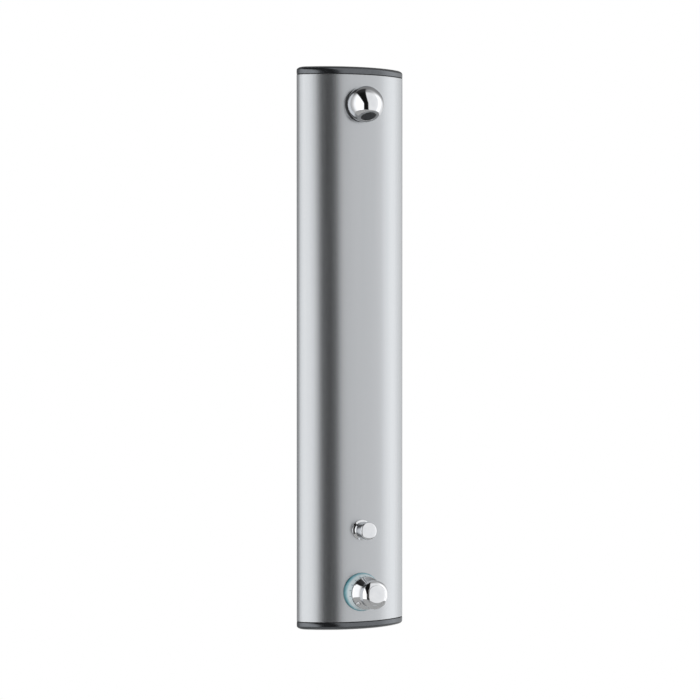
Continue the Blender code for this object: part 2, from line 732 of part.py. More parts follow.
SLEEVE_TOP = BUTTON_REACH - BUTTON_WALL - BUTTON_STROKE - 0.0060
FLANGE_TOP = 0.0042
VALVE_REAR = 0.0075
VALVE_FLOOR = 0.0040
SPRING_SEAT = 0.0065


def make_button_collar():
    """The chrome collar: a flange on the cover and a sleeve that the button slides over."""
    bore = STEM_RADIUS + 0.0006
    foot = saddle_foot(COLLAR_FLANGE)
    profile = [(SLEEVE_RADIUS, SLEEVE_TOP), (SLEEVE_RADIUS, FLANGE_TOP), (SLEEVE_RADIUS + 0.0006, FLANGE_TOP - 0.0008),
               (COLLAR_FLANGE, FLANGE_TOP - 0.0026), (COLLAR_FLANGE, foot), (bore, foot),
               (bore, SPRING_SEAT), (SLEEVE_BORE, SPRING_SEAT), (SLEEVE_BORE, SLEEVE_TOP)]
    collar = turned("button_collar", profile, CHROME, out_from_cover(BUTTON_HEIGHT), ring=True)
    neck_room = rod("collar_neck_room", (0.0, -COVER_DEPTH - foot + OVERCUT, BUTTON_HEIGHT),
                    (0.0, -COVER_DEPTH - FLANGE_TOP, BUTTON_HEIGHT), VALVE_NECK + GAP)
    cut(collar, cover_envelope("collar_saddle", BUTTON_HEIGHT, GAP), neck_room)


def make_push_button():
    """The button's chrome cup, with a slightly domed face."""
    rear = FLANGE_TOP + BUTTON_STROKE + 0.0008
    inner = BUTTON_RADIUS - BUTTON_WALL
    ceiling = BUTTON_REACH - BUTTON_CEILING
    face = [(BUTTON_RADIUS * fraction, BUTTON_REACH - 0.0022 * fraction ** 2)
            for fraction in (0.0, 0.25, 0.5, 0.75, 0.9)]
    profile = face + [(BUTTON_RADIUS, BUTTON_REACH - 0.0034), (BUTTON_RADIUS, rear), (inner, rear),
                      (inner, ceiling), (0.0, ceiling)]
    turned("push_button", profile, CHROME, out_from_cover(BUTTON_HEIGHT))


def make_button_stem():
    """The stem under the button with the timing piston on its inner end."""
    top = BUTTON_REACH - BUTTON_CEILING - GAP
    inner_end = VALVE_REAR + VALVE_FLOOR + BUTTON_STROKE + 0.0040 - COVER_DEPTH
    piston_top = inner_end + PISTON_LENGTH
    profile = [(0.0, top), (STEM_RADIUS, top), (STEM_RADIUS, piston_top), (PISTON_RADIUS, piston_top),
               (PISTON_RADIUS, inner_end), (0.0, inner_end)]
    turned("button_stem", profile, STEEL, out_from_cover(BUTTON_HEIGHT), sides=SMALL_SIDES)


def make_return_spring():
    start = (0.0, -COVER_DEPTH - SPRING_SEAT - SPRING_WIRE - GAP, BUTTON_HEIGHT)
    end = (0.0, -COVER_DEPTH - BUTTON_REACH + BUTTON_CEILING + SPRING_WIRE + GAP, BUTTON_HEIGHT)
    coil("button_return_spring", SPRING_RADIUS, SPRING_WIRE, 5, start, end, SPRING_STEEL)


def make_timed_valve():
    """The brass valve body: a bored barrel with a pipe socket above and below."""
    shoulder = lock_nut_rear(VALVE_NUT_FLATS) - GAP
    body = rod("timed_valve_body", (0.0, -VALVE_REAR, BUTTON_HEIGHT), (0.0, -shoulder, BUTTON_HEIGHT),
               VALVE_RADIUS, BRASS)
    neck_end = COVER_DEPTH + 0.0036
    neck = rod("valve_neck", (0.0, -WATERWAY_DEPTH, BUTTON_HEIGHT), (0.0, -neck_end, BUTTON_HEIGHT), VALVE_NECK)
    chamber = rod("valve_chamber", (0.0, -VALVE_REAR - VALVE_FLOOR, BUTTON_HEIGHT),
                  (0.0, -neck_end - OVERCUT, BUTTON_HEIGHT), VALVE_CHAMBER)
    up = socket_tools("valve_up", BUTTON_HEIGHT, 1)
    down = socket_tools("valve_down", BUTTON_HEIGHT, -1)
    join(body, neck, up[0], down[0])
    cut(body, chamber, up[1], up[2], down[1], down[2])


# ---------------------------------------------------------------- thermostatic mixer

DIAL_BASE = 0.0030
SKIRT_BOTTOM = DIAL_HEIGHT + 0.0020
HANDLE_BOTTOM = 0.0425
NECK_TIP = COVER_DEPTH + 0.0080
GLAND_LENGTH = 0.0050
CARRIER_SOCKET = 0.0115
CARRIER_FRONT = NECK_TIP - GLAND_LENGTH - CARRIER_STROKE - 0.0034


def make_dial():
    """The blue temperature dial: a hollow, gently tapered collar fixed to the cover."""
    inner = MIXER_NECK + HOLE_CLEARANCE
    outer_top = SKIRT_RADIUS - 0.0010
    foot = saddle_foot(DIAL_RADIUS)
    profile = [(outer_top, DIAL_HEIGHT), (DIAL_RADIUS - 0.0012, DIAL_BASE + 0.0012), (DIAL_RADIUS, DIAL_BASE),
               (DIAL_RADIUS, foot), (inner, foot), (inner, DIAL_BASE), (outer_top - 0.0035, DIAL_BASE),
               (outer_top - 0.0035, DIAL_HEIGHT)]
    dial = turned("temperature_dial", profile, BLUE_PLASTIC, out_from_cover(KNOB_HEIGHT), ring=True)
    cut(dial, cover_envelope("dial_saddle", KNOB_HEIGHT, GAP))


def make_knob_skirt():
    """The turning skirt: a thin cone with a web and a hub on the spindle."""
    wall = 0.0022
    hub = SPINDLE_RADIUS + 0.0030
    bore = SPINDLE_RADIUS + GAP
    front = HANDLE_BOTTOM - GAP
    web = 0.0355
    profile = [(WAIST_RADIUS, front), (WAIST_RADIUS, front - 0.004), (WAIST_RADIUS + 0.0015, front - 0.0075),
               (SKIRT_RADIUS - 0.0012, SKIRT_BOTTOM + 0.0038), (SKIRT_RADIUS, SKIRT_BOTTOM + 0.0026),
               (SKIRT_RADIUS, SKIRT_BOTTOM), (SKIRT_RADIUS - wall, SKIRT_BOTTOM),
               (WAIST_RADIUS - wall, web), (hub, web), (hub, SKIRT_BOTTOM + 0.004),
               (bore, SKIRT_BOTTOM + 0.004), (bore, front)]
    skirt = turned("knob_skirt", profile, CHROME, out_from_cover(KNOB_HEIGHT), ring=True, sides=36)
    cut(skirt, release_body("release_pocket", GAP, 0.004))


def crown_height(radius):
    """The grip's front: almost flat in the middle, falling away ever faster towards its edge."""
    return KNOB_REACH - KNOB_CROWN * (radius / HANDLE_RADIUS) ** 4


def make_knob_handle():
    """The round grip in front of the waist, with a crowned front edge and a seat for the face."""
    seat_radius = FACE_RADIUS - 0.0012
    rim = [seat_radius + (HANDLE_RADIUS - seat_radius) * part for part in (0.0, 0.25, 0.48, 0.68, 0.84, 0.95, 1.0)]
    screw_floor = FACE_SEAT - 0.0060
    screw_room = 0.0065
    profile = [(radius, crown_height(radius)) for radius in rim]
    profile += [(HANDLE_RADIUS, HANDLE_BOTTOM + 0.003), (HANDLE_RADIUS - 0.002, HANDLE_BOTTOM),
                (SPINDLE_RADIUS + GAP, HANDLE_BOTTOM), (SPINDLE_RADIUS + GAP, screw_floor),
                (screw_room, screw_floor), (screw_room, FACE_SEAT), (seat_radius, FACE_SEAT)]
    turned("knob_handle", profile, CHROME, out_from_cover(KNOB_HEIGHT), ring=True, sides=36)


def make_knob_face():
    """The plain crowned disc that closes the front of the grip."""
    radius = FACE_RADIUS - 0.0012 - GAP
    profile = [(radius * part, crown_height(radius * part)) for part in (0.0, 0.4, 0.6, 0.75, 0.88, 1.0)]
    profile += [(radius, FACE_SEAT + GAP), (0.0, FACE_SEAT + GAP)]
    turned("knob_face", profile, CHROME, out_from_cover(KNOB_HEIGHT), sides=36)


def make_spindle():
    """The splined spindle from the knob to the thermostat, and the screw that holds the knob."""
    tip = FACE_SEAT - 0.0062
    inner_end = CARRIER_FRONT - CARRIER_SOCKET + CARRIER_STROKE + 0.0024 - COVER_DEPTH
    profile = [(0.0, tip), (SPINDLE_RADIUS, tip), (SPINDLE_RADIUS, inner_end), (0.0, inner_end)]
    turned("mixer_spindle", profile, BRASS, out_from_cover(KNOB_HEIGHT), sides=SMALL_SIDES)
    low, high = tip + GAP, tip + 0.0038
    head = [(0.0, high), (0.0042, high), (0.0055, high - 0.0010), (0.0055, low), (0.0, low)]
    turned("knob_screw", head, STEEL, out_from_cover(KNOB_HEIGHT), sides=SMALL_SIDES)


RELEASE_ANGLE = math.radians(222.0)
RELEASE_RADIUS = 0.0242
RELEASE_LEVEL = 0.0265
RELEASE_STROKE = 0.0012


def release_direction():
    """Outwards from the knob's axis to the stop release, in the plane of the panel's front."""
    return Vector((math.cos(RELEASE_ANGLE), 0.0, math.sin(RELEASE_ANGLE)))


def release_body(name, extra, extra_length, material=None):
    """The release's plug: an elliptical bar that lies across the skirt's slope."""
    length = 0.0085 + extra_length
    shape = bmesh.new()
    bmesh.ops.create_cone(shape, cap_ends=True, segments=24, radius1=1.0, radius2=1.0, depth=1.0)
    half_wide, half_long = 0.0036 + extra, 0.0052 + extra
    bmesh.ops.scale(shape, vec=(half_wide, half_long, length), verts=shape.verts)
    if material is not None:
        rim = [edge for edge in shape.edges if all(vert.co.z > 0 for vert in edge.verts)]
        bmesh.ops.bevel(shape, geom=rim, offset=0.0012, segments=3, affect="EDGES", profile=0.5)
    outward = (release_direction() + Vector((0.0, -0.75, 0.0))).normalized()
    side = outward.cross(Vector((0.0, -1.0, 0.0))).normalized()
    long_way = outward.cross(side)
    turn = Matrix((side, long_way, outward)).transposed().to_4x4()
    if turn.determinant() < 0:
        turn = Matrix((-side, long_way, outward)).transposed().to_4x4()
    centre = Vector((0.0, -COVER_DEPTH - RELEASE_LEVEL, KNOB_HEIGHT)) + release_direction() * RELEASE_RADIUS
    bmesh.ops.transform(shape, matrix=Matrix.Translation(centre) @ turn, verts=shape.verts)
    mesh = bpy.data.meshes.new(name)
    shape.to_mesh(mesh)
    shape.free()
    smooth(mesh)
    return add_object(name, mesh, material)


def make_mixer_body():
    """The brass mixing chamber lying across the panel, with a neck through the cover."""
    body = rod("mixer_body", (-MIXER_HALF_LENGTH, -WATERWAY_DEPTH, KNOB_HEIGHT),
               (MIXER_HALF_LENGTH, -WATERWAY_DEPTH, KNOB_HEIGHT), MIXER_RADIUS, BRASS)
    neck = rod("mixer_neck", (0.0, -WATERWAY_DEPTH, KNOB_HEIGHT), (0.0, -NECK_TIP, KNOB_HEIGHT), MIXER_NECK)
    reach = MIXER_HALF_LENGTH + OVERCUT
    chamber = rod("mixer_chamber", (-reach, -WATERWAY_DEPTH, KNOB_HEIGHT), (reach, -WATERWAY_DEPTH, KNOB_HEIGHT),
                  MIXER_BORE)
    bore = rod("mixer_bore", (0.0, -WATERWAY_DEPTH, KNOB_HEIGHT), (0.0, -NECK_TIP - OVERCUT, KNOB_HEIGHT),
               NECK_BORE)
    outside, seat, way_through = socket_tools("mixer_up", KNOB_HEIGHT, 1)
    join(body, neck, outside)
    cut(body, chamber, bore, seat, way_through)


def make_mixer_gland():
    """The packing gland that closes the neck around the spindle."""
    low, high = NECK_TIP - COVER_DEPTH - GLAND_LENGTH, NECK_TIP - COVER_DEPTH
    outer, bore = NECK_BORE - GAP, SPINDLE_RADIUS + GAP
    profile = [(outer, high), (outer, low), (bore, low), (bore, high)]
    turned("mixer_gland", profile, BRASS, out_from_cover(KNOB_HEIGHT), ring=True, sides=SMALL_SIDES)


def make_thermostat():
    """The thermostat carrier that the spindle's thread moves in and out, and its return spring."""
    front = CARRIER_FRONT - COVER_DEPTH
    shoulder = front - 0.0140
    bore_end = front - CARRIER_SOCKET
    tip = WATERWAY_DEPTH - MIXER_BORE + CARRIER_STROKE + 0.0029 - COVER_DEPTH
    outer, socket, nose = 0.0086, SPINDLE_RADIUS + 0.0006, 0.0038
    profile = [(0.0, front), (outer, front), (outer, shoulder), (nose, shoulder), (nose, tip), (0.0, tip)]
    carrier = turned("thermostat_carrier", profile, WHITE_PLASTIC, out_from_cover(KNOB_HEIGHT), sides=SMALL_SIDES)
    cut(carrier, rod("carrier_socket", (0.0, -COVER_DEPTH - bore_end, KNOB_HEIGHT),
                     (0.0, -COVER_DEPTH - front - OVERCUT, KNOB_HEIGHT), socket, sides=SMALL_SIDES))
    wire = 0.0006
    start = (0.0, -(WATERWAY_DEPTH - MIXER_BORE) - wire - GAP - 0.0012, KNOB_HEIGHT)
    end = (0.0, -COVER_DEPTH - shoulder + wire + GAP, KNOB_HEIGHT)
    coil("thermostat_spring", 0.0064, wire, 4, start, end, SPRING_STEEL)


def make_inlet(side, way):
    """One brass inlet elbow with its stopcock, its union nut and its check valve."""
    centre = Vector((way * INLET_X, -WATERWAY_DEPTH, KNOB_HEIGHT))
    arm_start = Vector((way * (MIXER_HALF_LENGTH + GAP), -WATERWAY_DEPTH, KNOB_HEIGHT))
    boss = INLET_RADIUS + 0.0012
    arm_end = centre + Vector((way * boss, 0.0, 0.0))
    elbow = rod(side + "_inlet_elbow", arm_start, arm_end, SOCKET_RADIUS, BRASS)
    to_wall = Vector((centre.x, -REAR_EDGE, KNOB_HEIGHT))
    rear_arm = rod(side + "_rear_arm", centre + Vector((0.0, -0.0085, 0.0)), to_wall, INLET_RADIUS)
    housing_top = centre + Vector((0.0, 0.0, 0.0190))
    housing = rod(side + "_stop_housing", centre + Vector((0.0, 0.0, 0.0041)), housing_top, 0.0085)
    inlet_bore = rod(side + "_inlet_bore", centre + Vector((0.0, -0.0013, 0.0)),
                     to_wall + Vector((0.0, OVERCUT, 0.0)), INLET_BORE)
    arm_bore = rod(side + "_arm_bore", arm_start - Vector((way * OVERCUT, 0.0, 0.0)),
                   centre + Vector((way * 0.0072, 0.0, 0.0)), 0.0066)
    stop_bore = rod(side + "_stop_bore", centre + Vector((0.0, 0.0, 0.0023)),
                    housing_top + Vector((0.0, 0.0, OVERCUT)), STOP_RADIUS + GAP, sides=SMALL_SIDES)
    join(elbow, rear_arm, housing)
    cut(elbow, inlet_bore, arm_bore, stop_bore)
    make_stop_spindle(side, centre)
    make_union_nut(side, way)
    make_check_valve(side, way)


def make_stop_spindle(side, centre):
    """A quarter-turn stop: a slotted head, a stem and a ball in the elbow."""
    ball = 0.0056
    head_low, head_high = 0.0190 + GAP, 0.0225
    joint = math.asin(STOP_RADIUS * 0.8 / ball)
    arc = [(ball * math.sin(joint + (math.pi - joint) * i / 7), ball * math.cos(joint + (math.pi - joint) * i / 7))
           for i in range(7)]
    profile = [(0.0, head_high), (0.0060, head_high), (0.0060, head_low), (STOP_RADIUS, head_low),
               (STOP_RADIUS, 0.0070), (STOP_RADIUS * 0.8, 0.0060)] + arc + [(0.0, -ball)]
    spindle = turned(side + "_stop_spindle", profile, STEEL, Matrix.Translation(centre), sides=SMALL_SIDES)
    slot = block(side + "_stop_slot", centre + Vector((-0.0006, -0.008, head_high - 0.0012)),
                 centre + Vector((0.0006, 0.008, head_high + OVERCUT)))
    cut(spindle, slot)


def make_union_nut(side, way):
    """The nut that pulls the inlet elbow up to the mixer."""
    thickness = 0.0080
    x = way * (MIXER_HALF_LENGTH + 2 * GAP + thickness / 2)
    turn = Matrix.Rotation(math.radians(90), 4, "Y")
    place = Matrix.Translation((x, -WATERWAY_DEPTH, KNOB_HEIGHT)) @ turn
    bore = circle(SOCKET_RADIUS + GAP)
    prism(side + "_union_nut", hexagon(0.029), thickness, BRASS, place, holes=[bore])


def make_check_valve(side, way):
    """The non-return valve pushed into the mixer's end."""
    outer, bore = MIXER_BORE - GAP, 0.0050
    profile = [(outer, 0.0085), (outer, -0.0085), (bore, -0.0085), (bore, 0.0085)]
    turn = Matrix.Rotation(math.radians(90), 4, "Y")
    place = Matrix.Translation((way * (MIXER_HALF_LENGTH - 0.010), -WATERWAY_DEPTH, KNOB_HEIGHT)) @ turn
    turned(side + "_check_valve", profile, WHITE_PLASTIC, place, sides=SMALL_SIDES, ring=True)


# ---------------------------------------------------------------- the assembly

def build_panel():
    make_cover()
    for side, way in (("top", 1), ("bottom", -1)):
        make_end_cap(side, way)
        make_cap_seal(side, way)
        make_cap_screws(side, way)
    make_wall_frame()
    make_inlet_bracket()
    make_pipes()
    make_pipe_nut("feed_lower_nut", KNOB_HEIGHT, 1)
    make_pipe_nut("feed_upper_nut", BUTTON_HEIGHT, -1)
    make_pipe_nut("riser_lower_nut", BUTTON_HEIGHT, 1)
    make_pipe_nut("riser_upper_nut", HEAD_HEIGHT, -1)
    make_pipe_clip("lower_pipe_clip", CLIP_LEVELS[0])
    make_pipe_clip("upper_pipe_clip", CLIP_LEVELS[1])
    make_dome()
    make_head_seal()
    make_head_backplate()
    make_spray_insert()
    make_head_elbow()
    lock_nut("head_lock_nut", HEAD_HEIGHT, HEAD_NECK, HEAD_NUT_FLATS)
    make_button_collar()
    make_push_button()
    make_button_stem()
    make_return_spring()
    make_timed_valve()
    lock_nut("valve_lock_nut", BUTTON_HEIGHT, VALVE_NECK, VALVE_NUT_FLATS)
    make_dial()
    make_knob_skirt()
    make_knob_handle()
    make_knob_face()
    make_spindle()
    release_body("stop_release", 0.0, 0.0, CHROME)
    make_mixer_body()
    make_mixer_gland()
    lock_nut("mixer_lock_nut", KNOB_HEIGHT, MIXER_NECK, MIXER_NUT_FLATS)
    make_thermostat()
    make_inlet("cold", 1)
    make_inlet("hot", -1)


build_panel()
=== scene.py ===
import math

import bmesh
import bpy
from mathutils import Matrix, Vector


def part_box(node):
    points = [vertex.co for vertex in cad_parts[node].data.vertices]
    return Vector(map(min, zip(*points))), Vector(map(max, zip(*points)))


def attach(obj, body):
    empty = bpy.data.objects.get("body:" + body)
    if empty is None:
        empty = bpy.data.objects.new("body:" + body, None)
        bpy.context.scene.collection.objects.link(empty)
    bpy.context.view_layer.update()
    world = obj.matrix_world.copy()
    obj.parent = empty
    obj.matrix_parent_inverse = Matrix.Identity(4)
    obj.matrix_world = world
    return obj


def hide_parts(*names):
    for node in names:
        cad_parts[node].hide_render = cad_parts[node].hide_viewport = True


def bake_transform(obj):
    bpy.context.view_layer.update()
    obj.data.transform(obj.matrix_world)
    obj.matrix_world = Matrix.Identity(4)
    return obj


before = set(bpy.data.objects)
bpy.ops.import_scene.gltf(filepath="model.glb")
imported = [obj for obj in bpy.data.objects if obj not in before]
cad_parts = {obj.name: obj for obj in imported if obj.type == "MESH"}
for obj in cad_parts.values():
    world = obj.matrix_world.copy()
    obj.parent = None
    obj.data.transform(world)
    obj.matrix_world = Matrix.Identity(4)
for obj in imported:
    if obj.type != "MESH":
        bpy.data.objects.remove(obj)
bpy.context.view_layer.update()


# ---------------------------------------------------------------- the studio
# A pale floor, a pale tent all round with a brighter panel on each side, and the dark gap in the
# tent that the camera looks through. Polished and satin metal take their light and dark bands from it.

CAMERA_TURN = math.radians(-25.15)
CAMERA_DISTANCE = 4.43
CAMERA_HEIGHT = 0.0637
FLOOR_LEVEL = -1.5
FLOOR_RADIUS = 2.4
FLOOR_PALE = "f2f2f0"


def linear(shade):
    """An sRGB hex colour as the linear colour that a shader takes."""
    parts = [int(shade[i:i + 2], 16) / 255 for i in (0, 2, 4)]
    parts = [p / 12.92 if p <= 0.04045 else ((p + 0.055) / 1.055) ** 2.4 for p in parts]
    return (*parts, 1.0)


def add_node(tree, kind, links=None, **settings):
    """Adds one node with its settings. links gives inputs, by name or number, a source or a value; a node given as
    a source stands for its first output."""
    made = tree.nodes.new(kind)
    for name, value in settings.items():
        setattr(made, name, value)
    for key, value in (links or {}).items():
        if isinstance(value, bpy.types.Node):
            value = value.outputs[0]
        if isinstance(value, bpy.types.NodeSocket):
            tree.links.new(value, made.inputs[key])
        else:
            made.inputs[key].default_value = value
    return made


def ramp_stops(ramp, stops):
    """Sets a colour ramp's stops, as pairs of place and linear colour."""
    while len(ramp.elements) < len(stops):
        ramp.elements.new(1.0)
    for element, (place, colour) in zip(ramp.elements, stops):
        element.position = place
        element.color = colour


def new_finish(name, colour, metallic, roughness):
    """A new material with its surface shader; its patterns are added after."""
    finish = bpy.data.materials.new(name)
    finish.use_nodes = True
    tree = finish.node_tree
    tree.nodes.clear()
    skin = add_node(tree, "ShaderNodeBsdfPrincipled",
                    {"Base Color": linear(colour), "Metallic": metallic, "Roughness": roughness})
    add_node(tree, "ShaderNodeOutputMaterial", {"Surface": skin})
    return finish, tree, skin


def grain(tree, size, detail=2.0, stretch=(1.0, 1.0, 1.0)):
    """A cloudy pattern whose patches are about size metres wide, drawn out by stretch."""
    place = add_node(tree, "ShaderNodeTexCoord")
    scaled = add_node(tree, "ShaderNodeMapping", {"Vector": place.outputs["Object"]})
    scaled.inputs["Scale"].default_value = [1 / (size * part) for part in stretch]
    cloud = add_node(tree, "ShaderNodeTexNoise",
                     {"Vector": scaled, "Scale": 1.0, "Detail": detail, "Roughness": 0.55})
    return cloud.outputs["Fac"]


def wear(tree, skin, tints=None, sheen=None, bumps=None):
    """Wears a surface in. Each part is a grain's sizes, then two colours, two roughnesses or a height in metres."""
    if tints:
        clouds, dark, light = tints
        mixed = add_node(tree, "ShaderNodeValToRGB", {"Fac": grain(tree, *clouds)})
        ramp_stops(mixed.color_ramp, [(0.3, linear(dark)), (0.7, linear(light))])
        tree.links.new(mixed.outputs[0], skin.inputs["Base Color"])
    if sheen:
        clouds, low, high = sheen
        span = add_node(tree, "ShaderNodeMapRange", {"Value": grain(tree, *clouds), "From Min": 0.3, "From Max": 0.7,
                                                     "To Min": low, "To Max": high})
        tree.links.new(span.outputs[0], skin.inputs["Roughness"])
    if bumps:
        clouds, depth = bumps
        raised = add_node(tree, "ShaderNodeBump", {"Height": grain(tree, *clouds), "Strength": 1.0,
                                                   "Distance": depth})
        tree.links.new(raised.outputs[0], skin.inputs["Normal"])


camera_data = bpy.data.cameras.new("studio_camera")
camera_data.lens = 127.05
camera_data.sensor_width = 36.0
camera_data.shift_x = 0.0013
camera = bpy.data.objects.new("studio_camera", camera_data)
bpy.context.scene.collection.objects.link(camera)
camera.location = (CAMERA_DISTANCE * math.sin(CAMERA_TURN), -CAMERA_DISTANCE * math.cos(CAMERA_TURN), CAMERA_HEIGHT)
aim = Vector((0.0, 0.0, -0.0034)) - camera.location
camera.rotation_euler = aim.to_track_quat("-Z", "Y").to_euler()
bpy.context.scene.camera = camera
bpy.context.scene.view_settings.view_transform = "Standard"

# The tent's light by compass direction, from straight behind on the left round to behind on the right.
tent = bpy.data.worlds.new("studio_tent")
tent.use_nodes = True
sky = tent.node_tree
sky.nodes.clear()
looking = add_node(sky, "ShaderNodeTexCoord")
along = add_node(sky, "ShaderNodeSeparateXYZ", {0: looking.outputs["Generated"]})
toward_front = add_node(sky, "ShaderNodeMath", {0: along.outputs[1], 1: -1.0}, operation="MULTIPLY")
compass = add_node(sky, "ShaderNodeMath", {0: along.outputs[0], 1: toward_front}, operation="ARCTAN2")
round_tent = add_node(sky, "ShaderNodeMapRange", {"Value": compass, "From Min": -math.pi, "From Max": math.pi})
panels = add_node(sky, "ShaderNodeValToRGB", {"Fac": round_tent})
PANEL_LIGHT = [(-180, 0.70), (-135, 0.36), (-112, 0.72), (-98, 1.18), (-55, 1.52), (-42, 1.48), (-6, 0.90),
               (30, 0.94),
               (56, 0.98), (68, 1.42), (84, 1.60), (98, 1.04), (135, 0.70), (180, 0.70)]
ramp_stops(panels.color_ramp, [((turn + 180) / 360, (glow / 2, glow / 2, glow / 2, 1.0)) for turn,
                               glow in PANEL_LIGHT])

# The dark gap: a sideways distance from the line to the camera, shifting and widening to the left overhead.
GAP_LEFT, GAP_RIGHT, GAP_SOFT, GAP_GLOW = -0.175, 0.32, 0.055, 0.004
sideways = add_node(sky, "ShaderNodeVectorMath", {0: looking.outputs["Generated"],
                    1: (math.cos(CAMERA_TURN), math.sin(CAMERA_TURN), 0.0)}, operation="DOT_PRODUCT")
ahead = add_node(sky, "ShaderNodeVectorMath", {0: looking.outputs["Generated"],
                 1: (math.sin(CAMERA_TURN), -math.cos(CAMERA_TURN), 0.0)}, operation="DOT_PRODUCT")
overhead = add_node(sky, "ShaderNodeMath", {0: along.outputs[2], 1: 0.0}, operation="MAXIMUM")
left_lean = add_node(sky, "ShaderNodeMath", {0: overhead, 1: 0.60, 2: sideways.outputs["Value"]},
                     operation="MULTIPLY_ADD")
right_lean = add_node(sky, "ShaderNodeMath", {0: overhead, 1: 0.30, 2: sideways.outputs["Value"]},
                      operation="MULTIPLY_ADD")
inside_left = add_node(sky, "ShaderNodeMapRange", {"Value": left_lean, "From Min": GAP_LEFT - GAP_SOFT,
                       "From Max": GAP_LEFT + GAP_SOFT}, interpolation_type="SMOOTHSTEP")
inside_right = add_node(sky, "ShaderNodeMapRange", {"Value": right_lean, "From Min": GAP_RIGHT + GAP_SOFT,
                        "From Max": GAP_RIGHT - GAP_SOFT}, interpolation_type="SMOOTHSTEP")
in_front = add_node(sky, "ShaderNodeMapRange", {"Value": ahead.outputs["Value"], "From Min": -0.35,
                                                "From Max": -0.20})
both_sides = add_node(sky, "ShaderNodeMath", {0: inside_left, 1: inside_right}, operation="MULTIPLY")
in_gap = add_node(sky, "ShaderNodeMath", {0: both_sides, 1: in_front}, operation="MULTIPLY")
tent_light = add_node(sky, "ShaderNodeMixRGB", {"Fac": in_gap, "Color1": panels,
                      "Color2": (GAP_GLOW, GAP_GLOW, GAP_GLOW, 1.0)})
# Above and behind, where the tent's roof ends, it is much dimmer.
roof = add_node(sky, "ShaderNodeMath", {0: ahead.outputs["Value"], 1: -0.8, 2: along.outputs[2]},
                operation="MULTIPLY_ADD")
roof_dim = add_node(sky, "ShaderNodeMapRange", {"Value": roof, "From Min": 0.55, "From Max": 1.0, "To Min": 0.0,
                    "To Max": 0.72}, interpolation_type="SMOOTHSTEP")
roofed = add_node(sky, "ShaderNodeMixRGB", {"Fac": roof_dim, "Color1": tent_light,
                  "Color2": (0.02, 0.02, 0.02, 1.0)})
rays = add_node(sky, "ShaderNodeLightPath")
seen = add_node(sky, "ShaderNodeMixRGB", {"Fac": rays.outputs["Is Camera Ray"], "Color1": roofed,
                "Color2": (0.5, 0.5, 0.5, 1.0)})
glow = add_node(sky, "ShaderNodeBackground", {"Color": seen, "Strength": 2.0})
add_node(sky, "ShaderNodeOutputWorld", {"Surface": glow})
bpy.context.scene.world = tent

# Painted board: pale, matt, with a faint cloudiness.
board, tree, skin = new_finish("painted_floor_board", FLOOR_PALE, 0.0, 0.85)
wear(tree, skin, tints=((0.25,), "f0f0ee", "f5f5f3"), bumps=((0.004,), 0.0002))
floor_mesh = bpy.data.meshes.new("studio_floor")
shape = bmesh.new()
bmesh.ops.create_circle(shape, cap_ends=True, segments=96, radius=FLOOR_RADIUS,
                        matrix=Matrix.Translation((0.0, 0.0, FLOOR_LEVEL)))
shape.to_mesh(floor_mesh)
shape.free()
floor_mesh.materials.append(board)
floor = bpy.data.objects.new("studio_floor", floor_mesh)
bpy.context.scene.collection.objects.link(floor)


# ---------------------------------------------------------------- front cover
# One length of extruded aluminium, satin anodised: a broad curved front that turns in at two tight
# shoulders to return lips. The saw cuts its ends square and three holes take the fittings' necks.

COVER_WIDTH, COVER_DEPTH, COVER_WALL = 0.2066, 0.052, 0.0022
FRONT_RADIUS, SHOULDER_RADIUS = 0.150, 0.020
REAR_EDGE = 0.0010
LIP_BACK, LIP_FRONT, LIP_TIP = 0.0023, 0.0045, 0.0868
HEAD_LEVEL, BUTTON_LEVEL, KNOB_LEVEL = 0.432, -0.3223, -0.4325
HEAD_HOLE, BUTTON_HOLE, MIXER_HOLE = 0.0107, 0.0132, 0.0152
CLEAR = 0.0003
FACING_OUT = Matrix.Rotation(math.radians(90), 4, "X")


def section(inset, rear, shoulder_steps=18, front_steps=72):
    """The cover's D section moved inwards by inset, from the right rear edge round to the left one."""
    middle = COVER_WIDTH / 2 - SHOULDER_RADIUS
    turn = math.asin(middle / (FRONT_RADIUS - SHOULDER_RADIUS))
    front_y = FRONT_RADIUS - COVER_DEPTH
    shoulder_y = front_y - (FRONT_RADIUS - SHOULDER_RADIUS) * math.cos(turn)
    front, shoulder = FRONT_RADIUS - inset, SHOULDER_RADIUS - inset
    reach = (rear + shoulder_y) / shoulder
    if reach <= math.cos(turn):
        first = math.acos(max(0.0, reach))
        angles = [first + (turn - first) * i / shoulder_steps for i in range(shoulder_steps)]
        angles += [turn - turn * i / front_steps for i in range(front_steps + 1)]
    else:
        first = math.acos((rear + front_y) / front)
        angles = [first - first * i / (shoulder_steps + front_steps) for i in range(shoulder_steps + front_steps + 1)]
    right = []
    for angle in angles:
        if angle > turn:
            right.append((middle + shoulder * math.sin(angle), shoulder_y - shoulder * math.cos(angle)))
        else:
            right.append((front * math.sin(angle), front_y - front * math.cos(angle)))
    right[0] = (right[0][0], -rear)
    return right + [(-x, y) for x, y in right[-2::-1]]


def shape_tree(name, sizes):
    """An empty Geometry Nodes tree with a named input for each size and one for the material."""
    tree = bpy.data.node_groups.new(name, "GeometryNodeTree")
    tree.interface.new_socket("Geometry", in_out="INPUT", socket_type="NodeSocketGeometry")
    for label in sizes:
        tree.interface.new_socket(label, in_out="INPUT", socket_type="NodeSocketFloat")
    tree.interface.new_socket("Material", in_out="INPUT", socket_type="NodeSocketMaterial")
    tree.interface.new_socket("Geometry", in_out="OUTPUT", socket_type="NodeSocketGeometry")
    return tree, add_node(tree, "NodeGroupInput")


